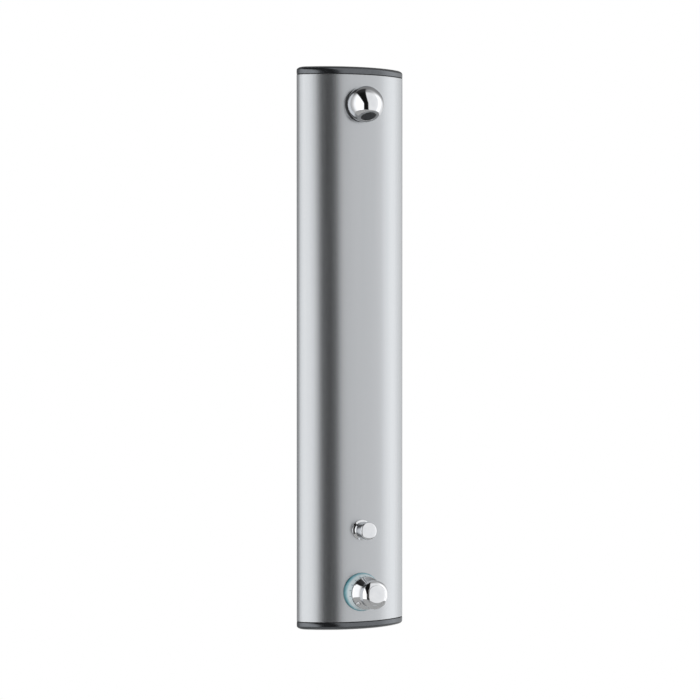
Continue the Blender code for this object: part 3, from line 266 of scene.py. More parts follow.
def end_tree(tree, given, made):
    """Ends a shape tree: real geometry instead of instances, with its material set."""
    real = add_node(tree, "GeometryNodeRealizeInstances", {0: made})
    coated = add_node(tree, "GeometryNodeSetMaterial", {0: real, "Material": given.outputs["Material"]})
    add_node(tree, "NodeGroupOutput", {0: coated})


def holder(name, points, edges=(), faces=()):
    """An object with a bare mesh, which a shape tree or a Boolean then works on."""
    mesh = bpy.data.meshes.new(name)
    mesh.from_pydata(points, edges, faces)
    thing = bpy.data.objects.new(name, mesh)
    bpy.context.scene.collection.objects.link(thing)
    return thing


def run_tree(thing, tree, sizes, material):
    """Puts a shape tree on an object and sets its inputs by their identifiers."""
    step = thing.modifiers.new(tree.name, "NODES")
    step.node_group = tree
    for item in tree.interface.items_tree:
        if item.in_out == "INPUT" and item.name in sizes:
            step[item.identifier] = float(sizes[item.name])
        elif item.in_out == "INPUT" and item.name == "Material":
            step[item.identifier] = material


def plain_mesh(thing, angle=32.0):
    """The object's evaluated shape as a plain mesh; the object and its modifiers are removed."""
    graph = bpy.context.evaluated_depsgraph_get()
    mesh = bpy.data.meshes.new_from_object(thing.evaluated_get(graph))
    bpy.data.objects.remove(thing)
    mesh.shade_smooth()
    mesh.set_sharp_from_angle(angle=math.radians(angle))
    return mesh


def cylinder_cutter(name, start, end, radius, sides=96):
    """A round cutter between two points."""
    start, end = Vector(start), Vector(end)
    shape = bmesh.new()
    place = Matrix.Translation((start + end) / 2) @ (end - start).to_track_quat("Z", "Y").to_matrix().to_4x4()
    bmesh.ops.create_cone(shape, cap_ends=True, segments=sides, radius1=radius, radius2=radius,
                          depth=(end - start).length, matrix=place)
    cutter = holder(name, [])
    shape.to_mesh(cutter.data)
    shape.free()
    return cutter


def carve(thing, cutters, operation="DIFFERENCE"):
    """Adds an exact Boolean for each cutter."""
    for cutter in cutters:
        step = thing.modifiers.new(operation.title(), "BOOLEAN")
        step.operation = operation
        step.solver = "EXACT"
        step.object = cutter
        cutter.hide_render = True


def discard(cutters):
    for cutter in cutters:
        bpy.data.objects.remove(cutter)


def fit(name, mesh, material, body, slot, *nodes):
    """Hangs a finished piece on its body and in place of its nodes; slot is not used."""
    piece = bpy.data.objects.new(name, mesh)
    bpy.context.scene.collection.objects.link(piece)
    mesh.materials.clear()
    mesh.materials.append(material)
    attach(piece, body)
    if nodes:
        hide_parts(*nodes)
    return piece


# Anodised aluminium, etched and brushed along the extrusion: a satin sheen with faint upright die
# lines about 2 mm apart, drawn coarser than the real 0.3 mm ones so that they show at all.
anodised, tree, skin = new_finish("satin_anodised_aluminium", "bcbfc2", 0.95, 0.25)
wear(tree, skin, tints=((0.0022, 3.0, (1.0, 1.0, 220.0)), "bbbec1", "bec0c3"),
     sheen=((0.0060, 2.0, (1.0, 1.0, 60.0)), 0.24, 0.26),
     bumps=((0.0009, 1.0, (1.0, 1.0, 90.0)), 0.0000002))

tree, given = shape_tree("extruded_cover", ["Length"])
half = add_node(tree, "ShaderNodeMath", {0: given.outputs["Length"], 1: 0.5}, operation="MULTIPLY")
minus = add_node(tree, "ShaderNodeMath", {0: given.outputs["Length"], 1: -0.5}, operation="MULTIPLY")
foot = add_node(tree, "ShaderNodeCombineXYZ", {2: minus})
tip = add_node(tree, "ShaderNodeCombineXYZ", {2: half})
rail = add_node(tree, "GeometryNodeCurvePrimitiveLine", {"Start": foot, "End": tip})
cuts = add_node(tree, "GeometryNodeResampleCurve", {"Curve": rail, "Count": 33})
profile = add_node(tree, "GeometryNodeMeshToCurve", {0: given.outputs["Geometry"]})
swept = add_node(tree, "GeometryNodeCurveToMesh", {"Curve": cuts, "Profile Curve": profile,
                 "Fill Caps": True})
end_tree(tree, given, swept.outputs[0])

outer = section(0.0, REAR_EDGE)
inner = [point for point in section(COVER_WALL, REAR_EDGE) if point[1] < -LIP_FRONT]
inner_x = COVER_WIDTH / 2 - COVER_WALL
left_lip = [(-inner_x, -REAR_EDGE), (-inner_x, -LIP_BACK), (-LIP_TIP, -LIP_BACK), (-LIP_TIP, -LIP_FRONT),
            (-inner_x, -LIP_FRONT)]
loop = outer + left_lip + inner[::-1] + [(-x, y) for x, y in reversed(left_lip)]
cover = holder("front_cover_section", [(x, y, 0.0) for x, y in loop],
               [(i, (i + 1) % len(loop)) for i in range(len(loop))])
cover_low, cover_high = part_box("front_cover")
run_tree(cover, tree, {"Length": cover_high.z - cover_low.z}, anodised)
holes = [cylinder_cutter("cover_hole", (0.0, -COVER_DEPTH - 0.003, level), (0.0, -COVER_DEPTH + 0.008, level), radius)
         for level, radius in ((HEAD_LEVEL, HEAD_HOLE), (BUTTON_LEVEL, BUTTON_HOLE), (KNOB_LEVEL, MIXER_HOLE))]
carve(cover, holes)
cover_mesh = plain_mesh(cover)
discard(holes)
fit("extruded_front_cover", cover_mesh, anodised, "panel", "anodised_aluminium", "front_cover")


# ---------------------------------------------------------------- end caps
# Two moulded caps close the extrusion. Each has a level band flush with the cover, a rounded crown,
# and a skirt that plugs in behind the wall; the ABS is lacquered in a dark metallic grey.

CAP_BAND, CAP_CROWN, CAP_INSET, CAP_WALL = 0.0065, 0.0070, 0.014, 0.0032
CAP_JOINT = 0.5 - CAP_BAND - CAP_CROWN
CAP_SKIRT, CAP_CEILING, FRAME_FRONT = 0.0080, 0.0055, 0.0051
SCREW_X, SCREW_Y = 0.020, -0.022
HEAD_RADIUS, HEAD_HEIGHT, SHANK_RADIUS, SCREW_LENGTH = 0.0042, 0.0026, 0.0020, 0.026


def skinned(name, loops):
    """Skins a run of equal loops and closes the first and the last."""
    shape = bmesh.new()
    rows = [[shape.verts.new(point) for point in loop] for loop in loops]
    for upper, lower in zip(rows, rows[1:]):
        for i in range(len(upper)):
            after = (i + 1) % len(upper)
            shape.faces.new((upper[i], upper[after], lower[after], lower[i]))
    shape.faces.new(rows[0])
    shape.faces.new(rows[-1])
    bmesh.ops.recalc_face_normals(shape, faces=shape.faces)
    thing = holder(name, [])
    shape.to_mesh(thing.data)
    shape.free()
    return thing


# ABS with a dark metallic lacquer: small flakes give it a dull sparkle, a clear coat gives it the
# sharper highlight, and the mould's fine orange peel breaks that up a little.
lacquer, tree, skin = new_finish("metallic_lacquered_abs", "5f6266", 0.90, 0.18)
wear(tree, skin, tints=((0.0016, 3.0), "5b5e62", "686b6f"),
     sheen=((0.010,), 0.15, 0.21),
     bumps=((0.0012, 2.0), 0.000004))
skin.inputs["Coat Weight"].default_value = 0.35
skin.inputs["Coat Roughness"].default_value = 0.12

for side, way in (("top", 1), ("bottom", -1)):
    skirt_inset = COVER_WALL + 2 * CLEAR
    skirt_rear = FRAME_FRONT + CAP_WALL / 2 + 0.0001
    levels = []
    for i in range(15):
        lift = math.radians(90 * (1 - i / 14))
        levels.append((CAP_INSET * (1 - math.cos(lift)), REAR_EDGE,
                       CAP_JOINT + CAP_BAND + CAP_CROWN * math.sin(lift)))
    levels += [(0.0, REAR_EDGE, CAP_JOINT + 0.0005), (0.00015, REAR_EDGE, CAP_JOINT + 0.00015),
               (0.0005, REAR_EDGE, CAP_JOINT),
               (skirt_inset, skirt_rear, CAP_JOINT), (skirt_inset, skirt_rear, CAP_JOINT - CAP_SKIRT),
               (skirt_inset + CAP_WALL, skirt_rear + CAP_WALL, CAP_JOINT - CAP_SKIRT),
               (skirt_inset + CAP_WALL, skirt_rear + CAP_WALL, CAP_JOINT + CAP_BAND - CAP_CEILING),
               (CAP_INSET + CAP_WALL, skirt_rear + CAP_WALL, 0.5 - CAP_CEILING)]
    cap = skinned(side + "_cap_shape", [[(x, y, way * level) for x, y in section(inset, rear)]
                                        for inset, rear, level in levels])
    pockets = []
    for across in (-SCREW_X, SCREW_X):
        for top, bottom, radius in ((0.502, 0.5 - HEAD_HEIGHT, HEAD_RADIUS + CLEAR),
                                    (0.502, 0.490, SHANK_RADIUS + CLEAR)):
            pockets.append(cylinder_cutter("cap_pocket", (across, SCREW_Y, way * top),
                                           (across, SCREW_Y, way * bottom), radius, 48))
    carve(cap, pockets)
    cap_mesh = plain_mesh(cap)
    discard(pockets)
    fit("lacquered_" + side + "_cap", cap_mesh, lacquer, "panel", "grey_cap_plastic", side + "_end_cap")


# ---------------------------------------------------------------- cap seals and cap screws
# A black rubber ring is pinched between the cover's end and each cap, and two socket-head screws
# pull each cap down on to the frame's folded tab.

# EPDM rubber, moulded: nearly black, matt, with a soft mottled skin.
rubber, tree, skin = new_finish("moulded_epdm_rubber", "2c2d2f", 0.0, 0.72)
wear(tree, skin, tints=((0.0020, 3.0), "262729", "333436"), sheen=((0.0030,), 0.62, 0.80), bumps=((0.0007,), 0.00002))

for side, way in (("top", 1), ("bottom", -1)):
    low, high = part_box(side + "_cap_seal")
    ring = []
    edge = section(CLEAR, REAR_EDGE)
    window = section(COVER_WALL + CLEAR, FRAME_FRONT)
    soft = 0.0002
    for inset_edge, level in ((0.0, high.z - soft), (soft, high.z)):
        ring.append([(x * (1 - inset_edge / 0.1), y, level) for x, y in edge])
    ring.append([(x, y, high.z) for x, y in window])
    ring.append([(x, y, low.z) for x, y in window])
    for inset_edge, level in ((soft, low.z), (0.0, low.z + soft)):
        ring.append([(x * (1 - inset_edge / 0.1), y, level) for x, y in edge])
    shape = bmesh.new()
    rows = [[shape.verts.new(point) for point in loop] for loop in ring]
    for upper, lower in zip(rows, rows[1:] + rows[:1]):
        for i in range(len(upper)):
            after = (i + 1) % len(upper)
            shape.faces.new((upper[i], upper[after], lower[after], lower[i]))
    bmesh.ops.recalc_face_normals(shape, faces=shape.faces)
    seal_mesh = bpy.data.meshes.new(side + "_seal_ring")
    shape.to_mesh(seal_mesh)
    shape.free()
    seal_mesh.shade_smooth()
    seal_mesh.set_sharp_from_angle(angle=math.radians(50))
    fit("rubber_" + side + "_seal", seal_mesh, rubber, "panel", "dark_rubber", side + "_cap_seal")

# Stainless steel, machined bar: bright grey with fine turned lines and a slightly worn rim.
turned_steel, tree, skin = new_finish("turned_stainless_steel", "b9babc", 1.0, 0.27)
wear(tree, skin, tints=((0.0008, 2.0), "acadb0", "c2c3c5"),
     sheen=((0.0015,), 0.22, 0.34),
     bumps=((0.0004, 1.0), 0.000003))

THREAD_PITCH, THREAD_DEPTH = 0.0008, 0.0003
tree, given = shape_tree("socket_screws", ["Head Radius", "Head Height", "Shank Radius", "Length", "Socket Radius"])
head = add_node(tree, "GeometryNodeMeshCylinder", {"Vertices": 48, "Radius": given.outputs["Head Radius"],
                "Depth": given.outputs["Head Height"]})
socket = add_node(tree, "GeometryNodeMeshCylinder", {"Vertices": 6, "Radius": given.outputs["Socket Radius"],
                  "Depth": given.outputs["Head Height"]})
half_head = add_node(tree, "ShaderNodeMath", {0: given.outputs["Head Height"], 1: 0.5}, operation="MULTIPLY")
socket_rise = add_node(tree, "ShaderNodeCombineXYZ", {2: half_head})
socket_up = add_node(tree, "GeometryNodeTransform", {0: socket, "Translation": socket_rise})
shank = add_node(tree, "GeometryNodeMeshCylinder", {"Vertices": 24, "Side Segments": 96,
                                                    "Radius": given.outputs["Shank Radius"],
                 "Depth": given.outputs["Length"]})
# The thread: a 0.8 mm pitch helix whose depth is taken off the shank's radius.
at = add_node(tree, "GeometryNodeInputPosition")
at_parts = add_node(tree, "ShaderNodeSeparateXYZ", {0: at})
round_shank = add_node(tree, "ShaderNodeMath", {0: at_parts.outputs[1], 1: at_parts.outputs[0]}, operation="ARCTAN2")
along_helix = add_node(tree, "ShaderNodeMath", {0: at_parts.outputs[2], 1: 2 * math.pi / THREAD_PITCH,
                                                2: round_shank},
                       operation="MULTIPLY_ADD")
wave = add_node(tree, "ShaderNodeMath", {0: along_helix}, operation="SINE")
shrink = add_node(tree, "ShaderNodeMapRange", {"Value": wave, "From Min": -1.0, "From Max": 1.0,
                                               "To Min": -THREAD_DEPTH,
                  "To Max": 0.0})
outward = add_node(tree, "ShaderNodeCombineXYZ", {0: at_parts.outputs[0], 1: at_parts.outputs[1]})
outward_unit = add_node(tree, "ShaderNodeVectorMath", {0: outward}, operation="NORMALIZE")
cut_in = add_node(tree, "ShaderNodeVectorMath", {0: outward_unit, "Scale": shrink}, operation="SCALE")
threaded = add_node(tree, "GeometryNodeSetPosition", {0: shank, "Offset": cut_in})
half_length = add_node(tree, "ShaderNodeMath", {0: given.outputs["Length"], 1: -0.5}, operation="MULTIPLY")
shank_drop = add_node(tree, "ShaderNodeCombineXYZ", {2: half_length})
shank_down = add_node(tree, "GeometryNodeTransform", {0: threaded, "Translation": shank_drop})
one_piece = add_node(tree, "GeometryNodeMeshBoolean", {"Mesh 2": head}, operation="UNION", solver="EXACT")
tree.links.new(shank_down.outputs[0], one_piece.inputs["Mesh 2"])
screw = add_node(tree, "GeometryNodeMeshBoolean", {"Mesh 1": one_piece, "Mesh 2": socket_up},
                 operation="DIFFERENCE", solver="EXACT")
place = add_node(tree, "GeometryNodeInputPosition")
height = add_node(tree, "ShaderNodeSeparateXYZ", {0: place})
below = add_node(tree, "ShaderNodeMath", {0: height.outputs[2], 1: 0.0}, operation="LESS_THAN")
half_turn = add_node(tree, "ShaderNodeMath", {0: below, 1: math.pi}, operation="MULTIPLY")
over = add_node(tree, "ShaderNodeCombineXYZ", {0: half_turn})
spread = add_node(tree, "GeometryNodeInstanceOnPoints", {"Points": given.outputs["Geometry"], "Instance": screw,
                  "Rotation": over})
end_tree(tree, given, spread.outputs[0])
screw_level = 0.5 - CLEAR - HEAD_HEIGHT / 2
screws = holder("cap_screw_places", [(x, SCREW_Y, way * screw_level) for x in (-SCREW_X, SCREW_X) for way in (-1, 1)])
run_tree(screws, tree, {"Head Radius": HEAD_RADIUS, "Head Height": HEAD_HEIGHT - 2 * CLEAR,
                        "Shank Radius": SHANK_RADIUS,
                        "Length": SCREW_LENGTH - HEAD_HEIGHT, "Socket Radius": 0.0022}, turned_steel)
fit("cap_screws", plain_mesh(screws), turned_steel, "panel", "stainless_steel",
    "top_cap_screw_1", "top_cap_screw_2", "bottom_cap_screw_1", "bottom_cap_screw_2")


# ---------------------------------------------------------------- shower head
# A chromed brass dome stands on a rubber ring. Its underside is milled flat and a dark disc with
# soft nozzles is pressed into it, aimed down and a little away from the wall.

DOME_RADIUS, DOME_STANDOFF, DOME_WALL, DOME_BASE = 0.0325, 0.016, 0.0030, 0.0025
SPRAY_TILT, SPRAY_SEAT, SPRAY_RADIUS = math.radians(62.0), 0.0260, 0.0135


def eased(profile, steps=6):
    """Rounds the corners of a profile: a point may carry a third value, how far its corner is eased back."""
    points = []
    for i, point in enumerate(profile):
        if len(point) < 3 or i in (0, len(profile) - 1):
            points.append(Vector(point[:2]))
            continue
        corner, before, after = Vector(point[:2]), Vector(profile[i - 1][:2]), Vector(profile[i + 1][:2])
        start = corner + (before - corner).normalized() * min(point[2], (before - corner).length * 0.48)
        end = corner + (after - corner).normalized() * min(point[2], (after - corner).length * 0.48)
        for k in range(steps + 1):
            t = k / steps
            points.append(start * (1 - t) ** 2 + corner * 2 * t * (1 - t) + end * t ** 2)
    return points


def turned(name, profile, place, sides=128, ring=False):
    """A turned body as a mesh in its place: (radius, height[, easing]) down the outside, up the inside."""
    shape = bmesh.new()
    rows = []
    for radius, height in eased(profile):
        if radius < 1e-7:
            rows.append([shape.verts.new((0.0, 0.0, height))])
        else:
            rows.append([shape.verts.new((radius * math.cos(2 * math.pi * i / sides),
                                          radius * math.sin(2 * math.pi * i / sides), height)) for i in range(sides)])
    for upper, lower in zip(rows, rows[1:] + (rows[:1] if ring else [])):
        for i in range(sides):
            after = (i + 1) % sides
            corners = [upper[i % len(upper)], upper[after % len(upper)], lower[after % len(lower)],
                       lower[i % len(lower)]]
            corners = list(dict.fromkeys(corners))
            if len(corners) > 2:
                shape.faces.new(corners)
    bmesh.ops.recalc_face_normals(shape, faces=shape.faces)
    mesh = bpy.data.meshes.new(name)
    shape.to_mesh(mesh)
    shape.free()
    mesh.transform(place)
    mesh.shade_smooth()
    mesh.set_sharp_from_angle(angle=math.radians(32))
    return mesh


def on_cover(level):
    """A place on the panel's front, with local +Z pointing away from the wall."""
    return Matrix.Translation((0.0, -COVER_DEPTH, level)) @ FACING_OUT


def saddle(mesh):
    """Lifts what lies behind the cover's curved face on to that face."""
    for vertex in mesh.vertices:
        face = FRONT_RADIUS - COVER_DEPTH - math.sqrt(FRONT_RADIUS ** 2 - vertex.co.x ** 2) - CLEAR
        vertex.co.y = min(vertex.co.y, face)


# Chrome plate on polished brass: a mirror with the faintest orange peel, and wiped-dry marks that
# dull it a little in patches about 10 mm across.
chrome, tree, skin = new_finish("polished_chrome_plate", "e6e8ea", 1.0, 0.05)
wear(tree, skin, tints=((0.012, 3.0), "e1e3e6", "eaebed"),
     sheen=((0.010, 4.0), 0.03, 0.085),
     bumps=((0.0035, 1.0), 0.000003))

spray_way = Vector((0.0, -math.cos(SPRAY_TILT), -math.sin(SPRAY_TILT)))
dome_centre = Vector((0.0, -COVER_DEPTH - DOME_STANDOFF, HEAD_LEVEL))
spray_turn = spray_way.to_track_quat("Z", "Y").to_matrix().to_4x4()


def ball(radius, face, steps, backwards=False):
    """Points of a ball's outline from its back pole to where a flat face cuts it."""
    last = math.acos(face / radius)
    points = [(radius * math.sin(math.pi + (last - math.pi) * i / steps),
               radius * math.cos(math.pi + (last - math.pi) * i / steps))
              for i in range(steps + 1)]
    points[0] = (0.0, -radius)
    return points[::-1] if backwards else points


outside = ball(DOME_RADIUS, SPRAY_SEAT, 60)
outside[-1] = (*outside[-1], 0.0009)
hollow = ball(DOME_RADIUS - DOME_WALL, SPRAY_SEAT - DOME_WALL, 40, backwards=True)
dome_profile = outside + [(SPRAY_RADIUS, SPRAY_SEAT, 0.0006), (SPRAY_RADIUS, SPRAY_SEAT - DOME_WALL)] + hollow
dome_mesh = turned("dome", dome_profile, Matrix.Translation(dome_centre) @ spray_turn, sides=160)
shape = bmesh.new()
shape.from_mesh(dome_mesh)
bmesh.ops.bisect_plane(shape, geom=shape.verts[:] + shape.edges[:] + shape.faces[:], dist=1e-7,
                       plane_co=(0.0, -COVER_DEPTH - DOME_BASE, 0.0), plane_no=(0.0, 1.0, 0.0), clear_outer=True)
rim = [edge for edge in shape.edges if edge.is_boundary]
bmesh.ops.bridge_loops(shape, edges=rim)
bmesh.ops.recalc_face_normals(shape, faces=shape.faces)
shape.to_mesh(dome_mesh)
shape.free()
dome_mesh.shade_smooth()
dome_mesh.set_sharp_from_angle(angle=math.radians(32))
fit("chromed_dome", dome_mesh, chrome, "panel", "chrome_plate", "shower_dome")

base_radius = math.sqrt(DOME_RADIUS ** 2 - (DOME_STANDOFF - DOME_BASE) ** 2)
ring_out = base_radius + 0.0012
seal_mesh = turned("head_ring", [(ring_out - 0.0004, 0.0022, 0.0003), (ring_out, 0.0022, 0.0008),
                                 (ring_out, -0.006), (HEAD_HOLE, -0.006),
                                 (HEAD_HOLE, 0.0022)], on_cover(HEAD_LEVEL), ring=True)
saddle(seal_mesh)
fit("rubber_head_ring", seal_mesh, rubber, "panel", "dark_rubber", "head_seal")

# ABS, moulded and unpainted: charcoal, with the tool's fine texture.
spray_plastic, tree, skin = new_finish("moulded_charcoal_abs", "202224", 0.0, 0.38)
wear(tree, skin, tints=((0.0012, 3.0), "1b1d1f", "26282a"), sheen=((0.0025,), 0.32, 0.46), bumps=((0.0006,), 0.00001))

spray_place = Matrix.Translation(dome_centre + spray_way * SPRAY_SEAT) @ spray_turn
disc_radius = SPRAY_RADIUS - CLEAR
disc_profile = [(0.0, 0.0002), (0.0095, 0.0002, 0.0005), (0.0105, 0.0006, 0.0004), (0.0122, 0.0006, 0.0004),
                (disc_radius, -0.0006, 0.0004), (disc_radius, -0.0040), (0.0, -0.0040)]
fit("spray_disc", turned("spray_disc", disc_profile, spray_place), spray_plastic, "panel", "dark_spray_plastic",
    "spray_insert")

# Silicone, moulded: soft grey nozzles with a dull skin, each a tapered nipple, drawn without its bore.
silicone, tree, skin = new_finish("moulded_grey_silicone", "4a4d50", 0.0, 0.55)
wear(tree, skin, tints=((0.0010,), "434649", "52555a"), bumps=((0.0004,), 0.000008))

tree, given = shape_tree("spray_nozzles", ["Root Radius", "Tip Radius", "Height"])
nipple = add_node(tree, "GeometryNodeMeshCone", {"Vertices": 16, "Radius Top": given.outputs["Tip Radius"],
                  "Radius Bottom": given.outputs["Root Radius"], "Depth": given.outputs["Height"]})
aim = Vector(spray_way).to_track_quat("Z", "Y").to_euler()
aimed = add_node(tree, "GeometryNodeInstanceOnPoints", {"Points": given.outputs["Geometry"], "Instance": nipple,
                 "Rotation": tuple(aim)})
end_tree(tree, given, aimed.outputs[0])
NOZZLE_PITCH = 0.0029
nozzle_points = [(0.0, 0.0)] + [(ring * NOZZLE_PITCH * math.cos(2 * math.pi * i / (6 * ring)),
                                 ring * NOZZLE_PITCH * math.sin(2 * math.pi * i / (6 * ring)))
                 for ring in (1, 2, 3) for i in range(6 * ring)]
nozzles = holder("nozzle_places", [spray_place @ Vector((x, y, 0.0001)) for x, y in nozzle_points])
run_tree(nozzles, tree, {"Root Radius": 0.00085, "Tip Radius": 0.00055, "Height": 0.0014}, silicone)
fit("spray_nozzles", plain_mesh(nozzles), silicone, "panel", "dark_spray_plastic")


# ---------------------------------------------------------------- timed push button
# A chromed cup slides over the sleeve of a chromed collar; the collar's flange sits on the cover.
# Behind the face a steel stem carries the timing piston, and a wire spring pushes the cup out again.

FLANGE_TOP, SLEEVE_TOP, SPRING_SEAT = 0.0042, 0.0193, 0.0065
collar_profile = [(0.0138, SLEEVE_TOP, 0.0004), (0.0138, FLANGE_TOP, 0.0004), (0.0144, 0.0034, 0.0003),
                  (0.018, 0.0016, 0.0004),
                  (0.018, -0.004), (0.0128, -0.004), (0.0128, 0.0042, 0.0002), (0.0040, 0.0042),
                  (0.0040, SPRING_SEAT),
                  (0.0105, SPRING_SEAT), (0.0105, SLEEVE_TOP, 0.0003), (0.0120, SLEEVE_TOP)]
collar_mesh = turned("collar", collar_profile, on_cover(BUTTON_LEVEL), ring=True)
saddle(collar_mesh)
fit("chromed_collar", collar_mesh, chrome, "panel", "chrome_plate", "button_collar")

CUP_RADIUS, CUP_REACH, CUP_REAR = 0.0158, 0.0325, 0.0110
face = [(CUP_RADIUS * part, CUP_REACH - 0.0022 * part ** 2) for part in (0.0, 0.12, 0.25, 0.38, 0.5, 0.62, 0.74,
                                                                         0.84)]
cup_profile = face + [(0.0152, CUP_REACH - 0.0022, 0.0016), (CUP_RADIUS, CUP_REACH - 0.0042, 0.0016),
                      (CUP_RADIUS, CUP_REAR, 0.0004),
                      (CUP_RADIUS - 0.0012, CUP_REAR, 0.0003), (CUP_RADIUS - 0.0012, 0.0285), (0.0, 0.0285)]
fit("chromed_button_cup", turned("button_cup", cup_profile, on_cover(BUTTON_LEVEL)), chrome, "button",
    "chrome_plate", "push_button")

piston = 0.0075 + 0.0040 + 0.0060 + 0.0040 - COVER_DEPTH
stem_profile = [(0.0, 0.0282), (0.0034, 0.0282, 0.0003), (0.0034, piston + 0.008, 0.0004),
                (0.0080, piston + 0.008, 0.0005),
                (0.0080, piston + 0.0055, 0.0003), (0.0070, piston + 0.0055), (0.0070, piston + 0.0030),
                (0.0080, piston + 0.0030, 0.0003),
                (0.0080, piston, 0.0005), (0.0, piston)]
fit("button_stem_and_piston", turned("stem", stem_profile, on_cover(BUTTON_LEVEL), 64), turned_steel, "button",
    "stainless_steel",
    "button_stem")

# Music wire, drawn and oiled: dark bright grey with drawing lines along it.
music_wire, tree, skin = new_finish("drawn_spring_wire", "8e9094", 1.0, 0.28)
wear(tree, skin, tints=((0.0009, 2.0), "7c7e82", "9a9ca0"), sheen=((0.0012,), 0.20, 0.38))

tree, given = shape_tree("wire_springs", ["Radius", "Wire Radius", "Length", "Turns"])
helix = add_node(tree, "GeometryNodeCurveSpiral", {"Resolution": 32, "Rotations": given.outputs["Turns"],
                 "Start Radius": given.outputs["Radius"], "End Radius": given.outputs["Radius"],
                                                   "Height": given.outputs["Length"]})
wire = add_node(tree, "GeometryNodeCurvePrimitiveCircle", {"Resolution": 12, "Radius": given.outputs["Wire Radius"]})
wound = add_node(tree, "GeometryNodeCurveToMesh", {"Curve": helix, "Profile Curve": wire, "Fill Caps": True})
placed = add_node(tree, "GeometryNodeInstanceOnPoints", {"Points": given.outputs["Geometry"], "Instance": wound,
                  "Rotation": (math.radians(90), 0.0, 0.0)})
end_tree(tree, given, placed.outputs[0])
# Each spring is wound to its node's length where the node stood; it is hung on no body, so it does not follow the
# part that it pushes.
SPRINGS = [("button_spring", "button_return_spring", 0.0082, 0.0007, 5, BUTTON_LEVEL, "button"),
           ("regulating_spring", "thermostat_spring", 0.0064, 0.0006, 4, KNOB_LEVEL, "carrier")]
for name, node, radius, wire_radius, turns, level, pushed in SPRINGS:
    low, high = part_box(node)
    coil = holder(name + "_place", [(0.0, high.y - wire_radius, level)])
    run_tree(coil, tree, {"Radius": radius, "Wire Radius": wire_radius, "Length": high.y - low.y - 2 * wire_radius,
                          "Turns": turns},
             music_wire)
    spring = bpy.data.objects.new(name, plain_mesh(coil))
    bpy.context.scene.collection.objects.link(spring)
    spring.data.materials.clear()
    spring.data.materials.append(music_wire)
    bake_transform(spring)
    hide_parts(node)


# ---------------------------------------------------------------- temperature dial
# A tapered collar moulded in tinted plastic stands between the cover and the knob. It stays still
# and the knob turns against it.

DIAL_RADIUS, DIAL_TOP, DIAL_MOUTH = 0.0340, 0.0190, 0.0280
DIAL_SHOULDER, DIAL_BAND = 0.0328, 0.0042

# ABS, moulded and tinted: glossy ice blue, darker teal at the foot by the cover and paler out towards the knob, where
# the near white is a painted highlight.
tint_and_highlight_abs, tree, skin = new_finish("tinted_abs_with_painted_highlight", "cfe6ee", 0.0, 0.20)
where = add_node(tree, "ShaderNodeTexCoord")
parts = add_node(tree, "ShaderNodeSeparateXYZ", {0: where.outputs["Object"]})
# Painted highlight: the colour lightens with distance out from the cover, to near white at the knob end.
depth = add_node(tree, "ShaderNodeMapRange", {"Value": parts.outputs[1], "From Min": -COVER_DEPTH + 0.001,
                 "From Max": -COVER_DEPTH - 0.0125})
mottled = add_node(tree, "ShaderNodeMath", {0: grain(tree, 0.006), 1: 0.16, 2: depth}, operation="MULTIPLY_ADD")
tint_and_highlight_ramp = add_node(tree, "ShaderNodeValToRGB", {"Fac": mottled})
ramp_stops(tint_and_highlight_ramp.color_ramp, [(0.0, linear("1f6069")), (0.30, linear("3f8b97")), (0.55, linear("a3cdd8")),
                              (0.85, linear("e2f0f4"))])
tree.links.new(tint_and_highlight_ramp.outputs[0], skin.inputs["Base Color"])
wear(tree, skin, sheen=((0.005,), 0.16, 0.26), bumps=((0.0015,), 0.000006))

dial_profile = [(DIAL_MOUTH, DIAL_TOP, 0.0008), (DIAL_SHOULDER, DIAL_BAND, 0.0014), (DIAL_RADIUS, 0.0030, 0.0008),
                (DIAL_RADIUS, -0.008),
                (MIXER_HOLE, -0.008), (MIXER_HOLE, 0.0030), (DIAL_MOUTH - 0.0035, 0.0030, 0.0006),
                (DIAL_MOUTH - 0.0035, DIAL_TOP, 0.0006),
                (DIAL_MOUTH - 0.0015, DIAL_TOP)]
dial_mesh = turned("dial", dial_profile, on_cover(KNOB_LEVEL), ring=True)
saddle(dial_mesh)
fit("tinted_dial_painted_highlight", dial_mesh, tint_and_highlight_abs, "panel", "blue_dial_plastic", "temperature_dial")

# The scale: eleven plain ticks round the dial's upper half, moulded a quarter of a millimetre proud.
# Ink, pad printed: deep blue with a slightly uneven edge to its sheen.
ink, tree, skin = new_finish("pad_printed_blue_ink", "1d4f6b", 0.0, 0.40)
wear(tree, skin, tints=((0.0012,), "1a4761", "225a78"), sheen=((0.0020,), 0.34, 0.50), bumps=((0.0006,), 0.000004))

tree, given = shape_tree("dial_ticks", ["Length", "Width", "Thickness", "Mouth Radius", "Slope", "Sweep", "Start"])
bar_size = add_node(tree, "ShaderNodeCombineXYZ", {0: given.outputs["Length"], 1: given.outputs["Width"],
                                                   2: given.outputs["Thickness"]})
bar = add_node(tree, "GeometryNodeMeshCube", {"Size": bar_size})
lean = add_node(tree, "ShaderNodeCombineXYZ", {1: given.outputs["Slope"]})
out_to = add_node(tree, "ShaderNodeCombineXYZ", {0: given.outputs["Mouth Radius"]})
leaned = add_node(tree, "GeometryNodeTransform", {0: bar, "Translation": out_to, "Rotation": lean})
line = add_node(tree, "GeometryNodeMeshLine", {"Count": 11, "Offset": (0.0, 0.0, 0.0)})
which = add_node(tree, "GeometryNodeInputIndex")
step = add_node(tree, "ShaderNodeMath", {0: which, 1: given.outputs["Sweep"], 2: given.outputs["Start"]},
                operation="MULTIPLY_ADD")
spin = add_node(tree, "ShaderNodeCombineXYZ", {2: step})
ticks = add_node(tree, "GeometryNodeInstanceOnPoints", {"Points": line, "Instance": leaned,
                 "Rotation": spin})
end_tree(tree, given, ticks.outputs[0])
TICK_LENGTH, TICK_WIDTH, TICK_PROUD, TICK_RISE = 0.0040, 0.0007, 0.0005, 0.0150
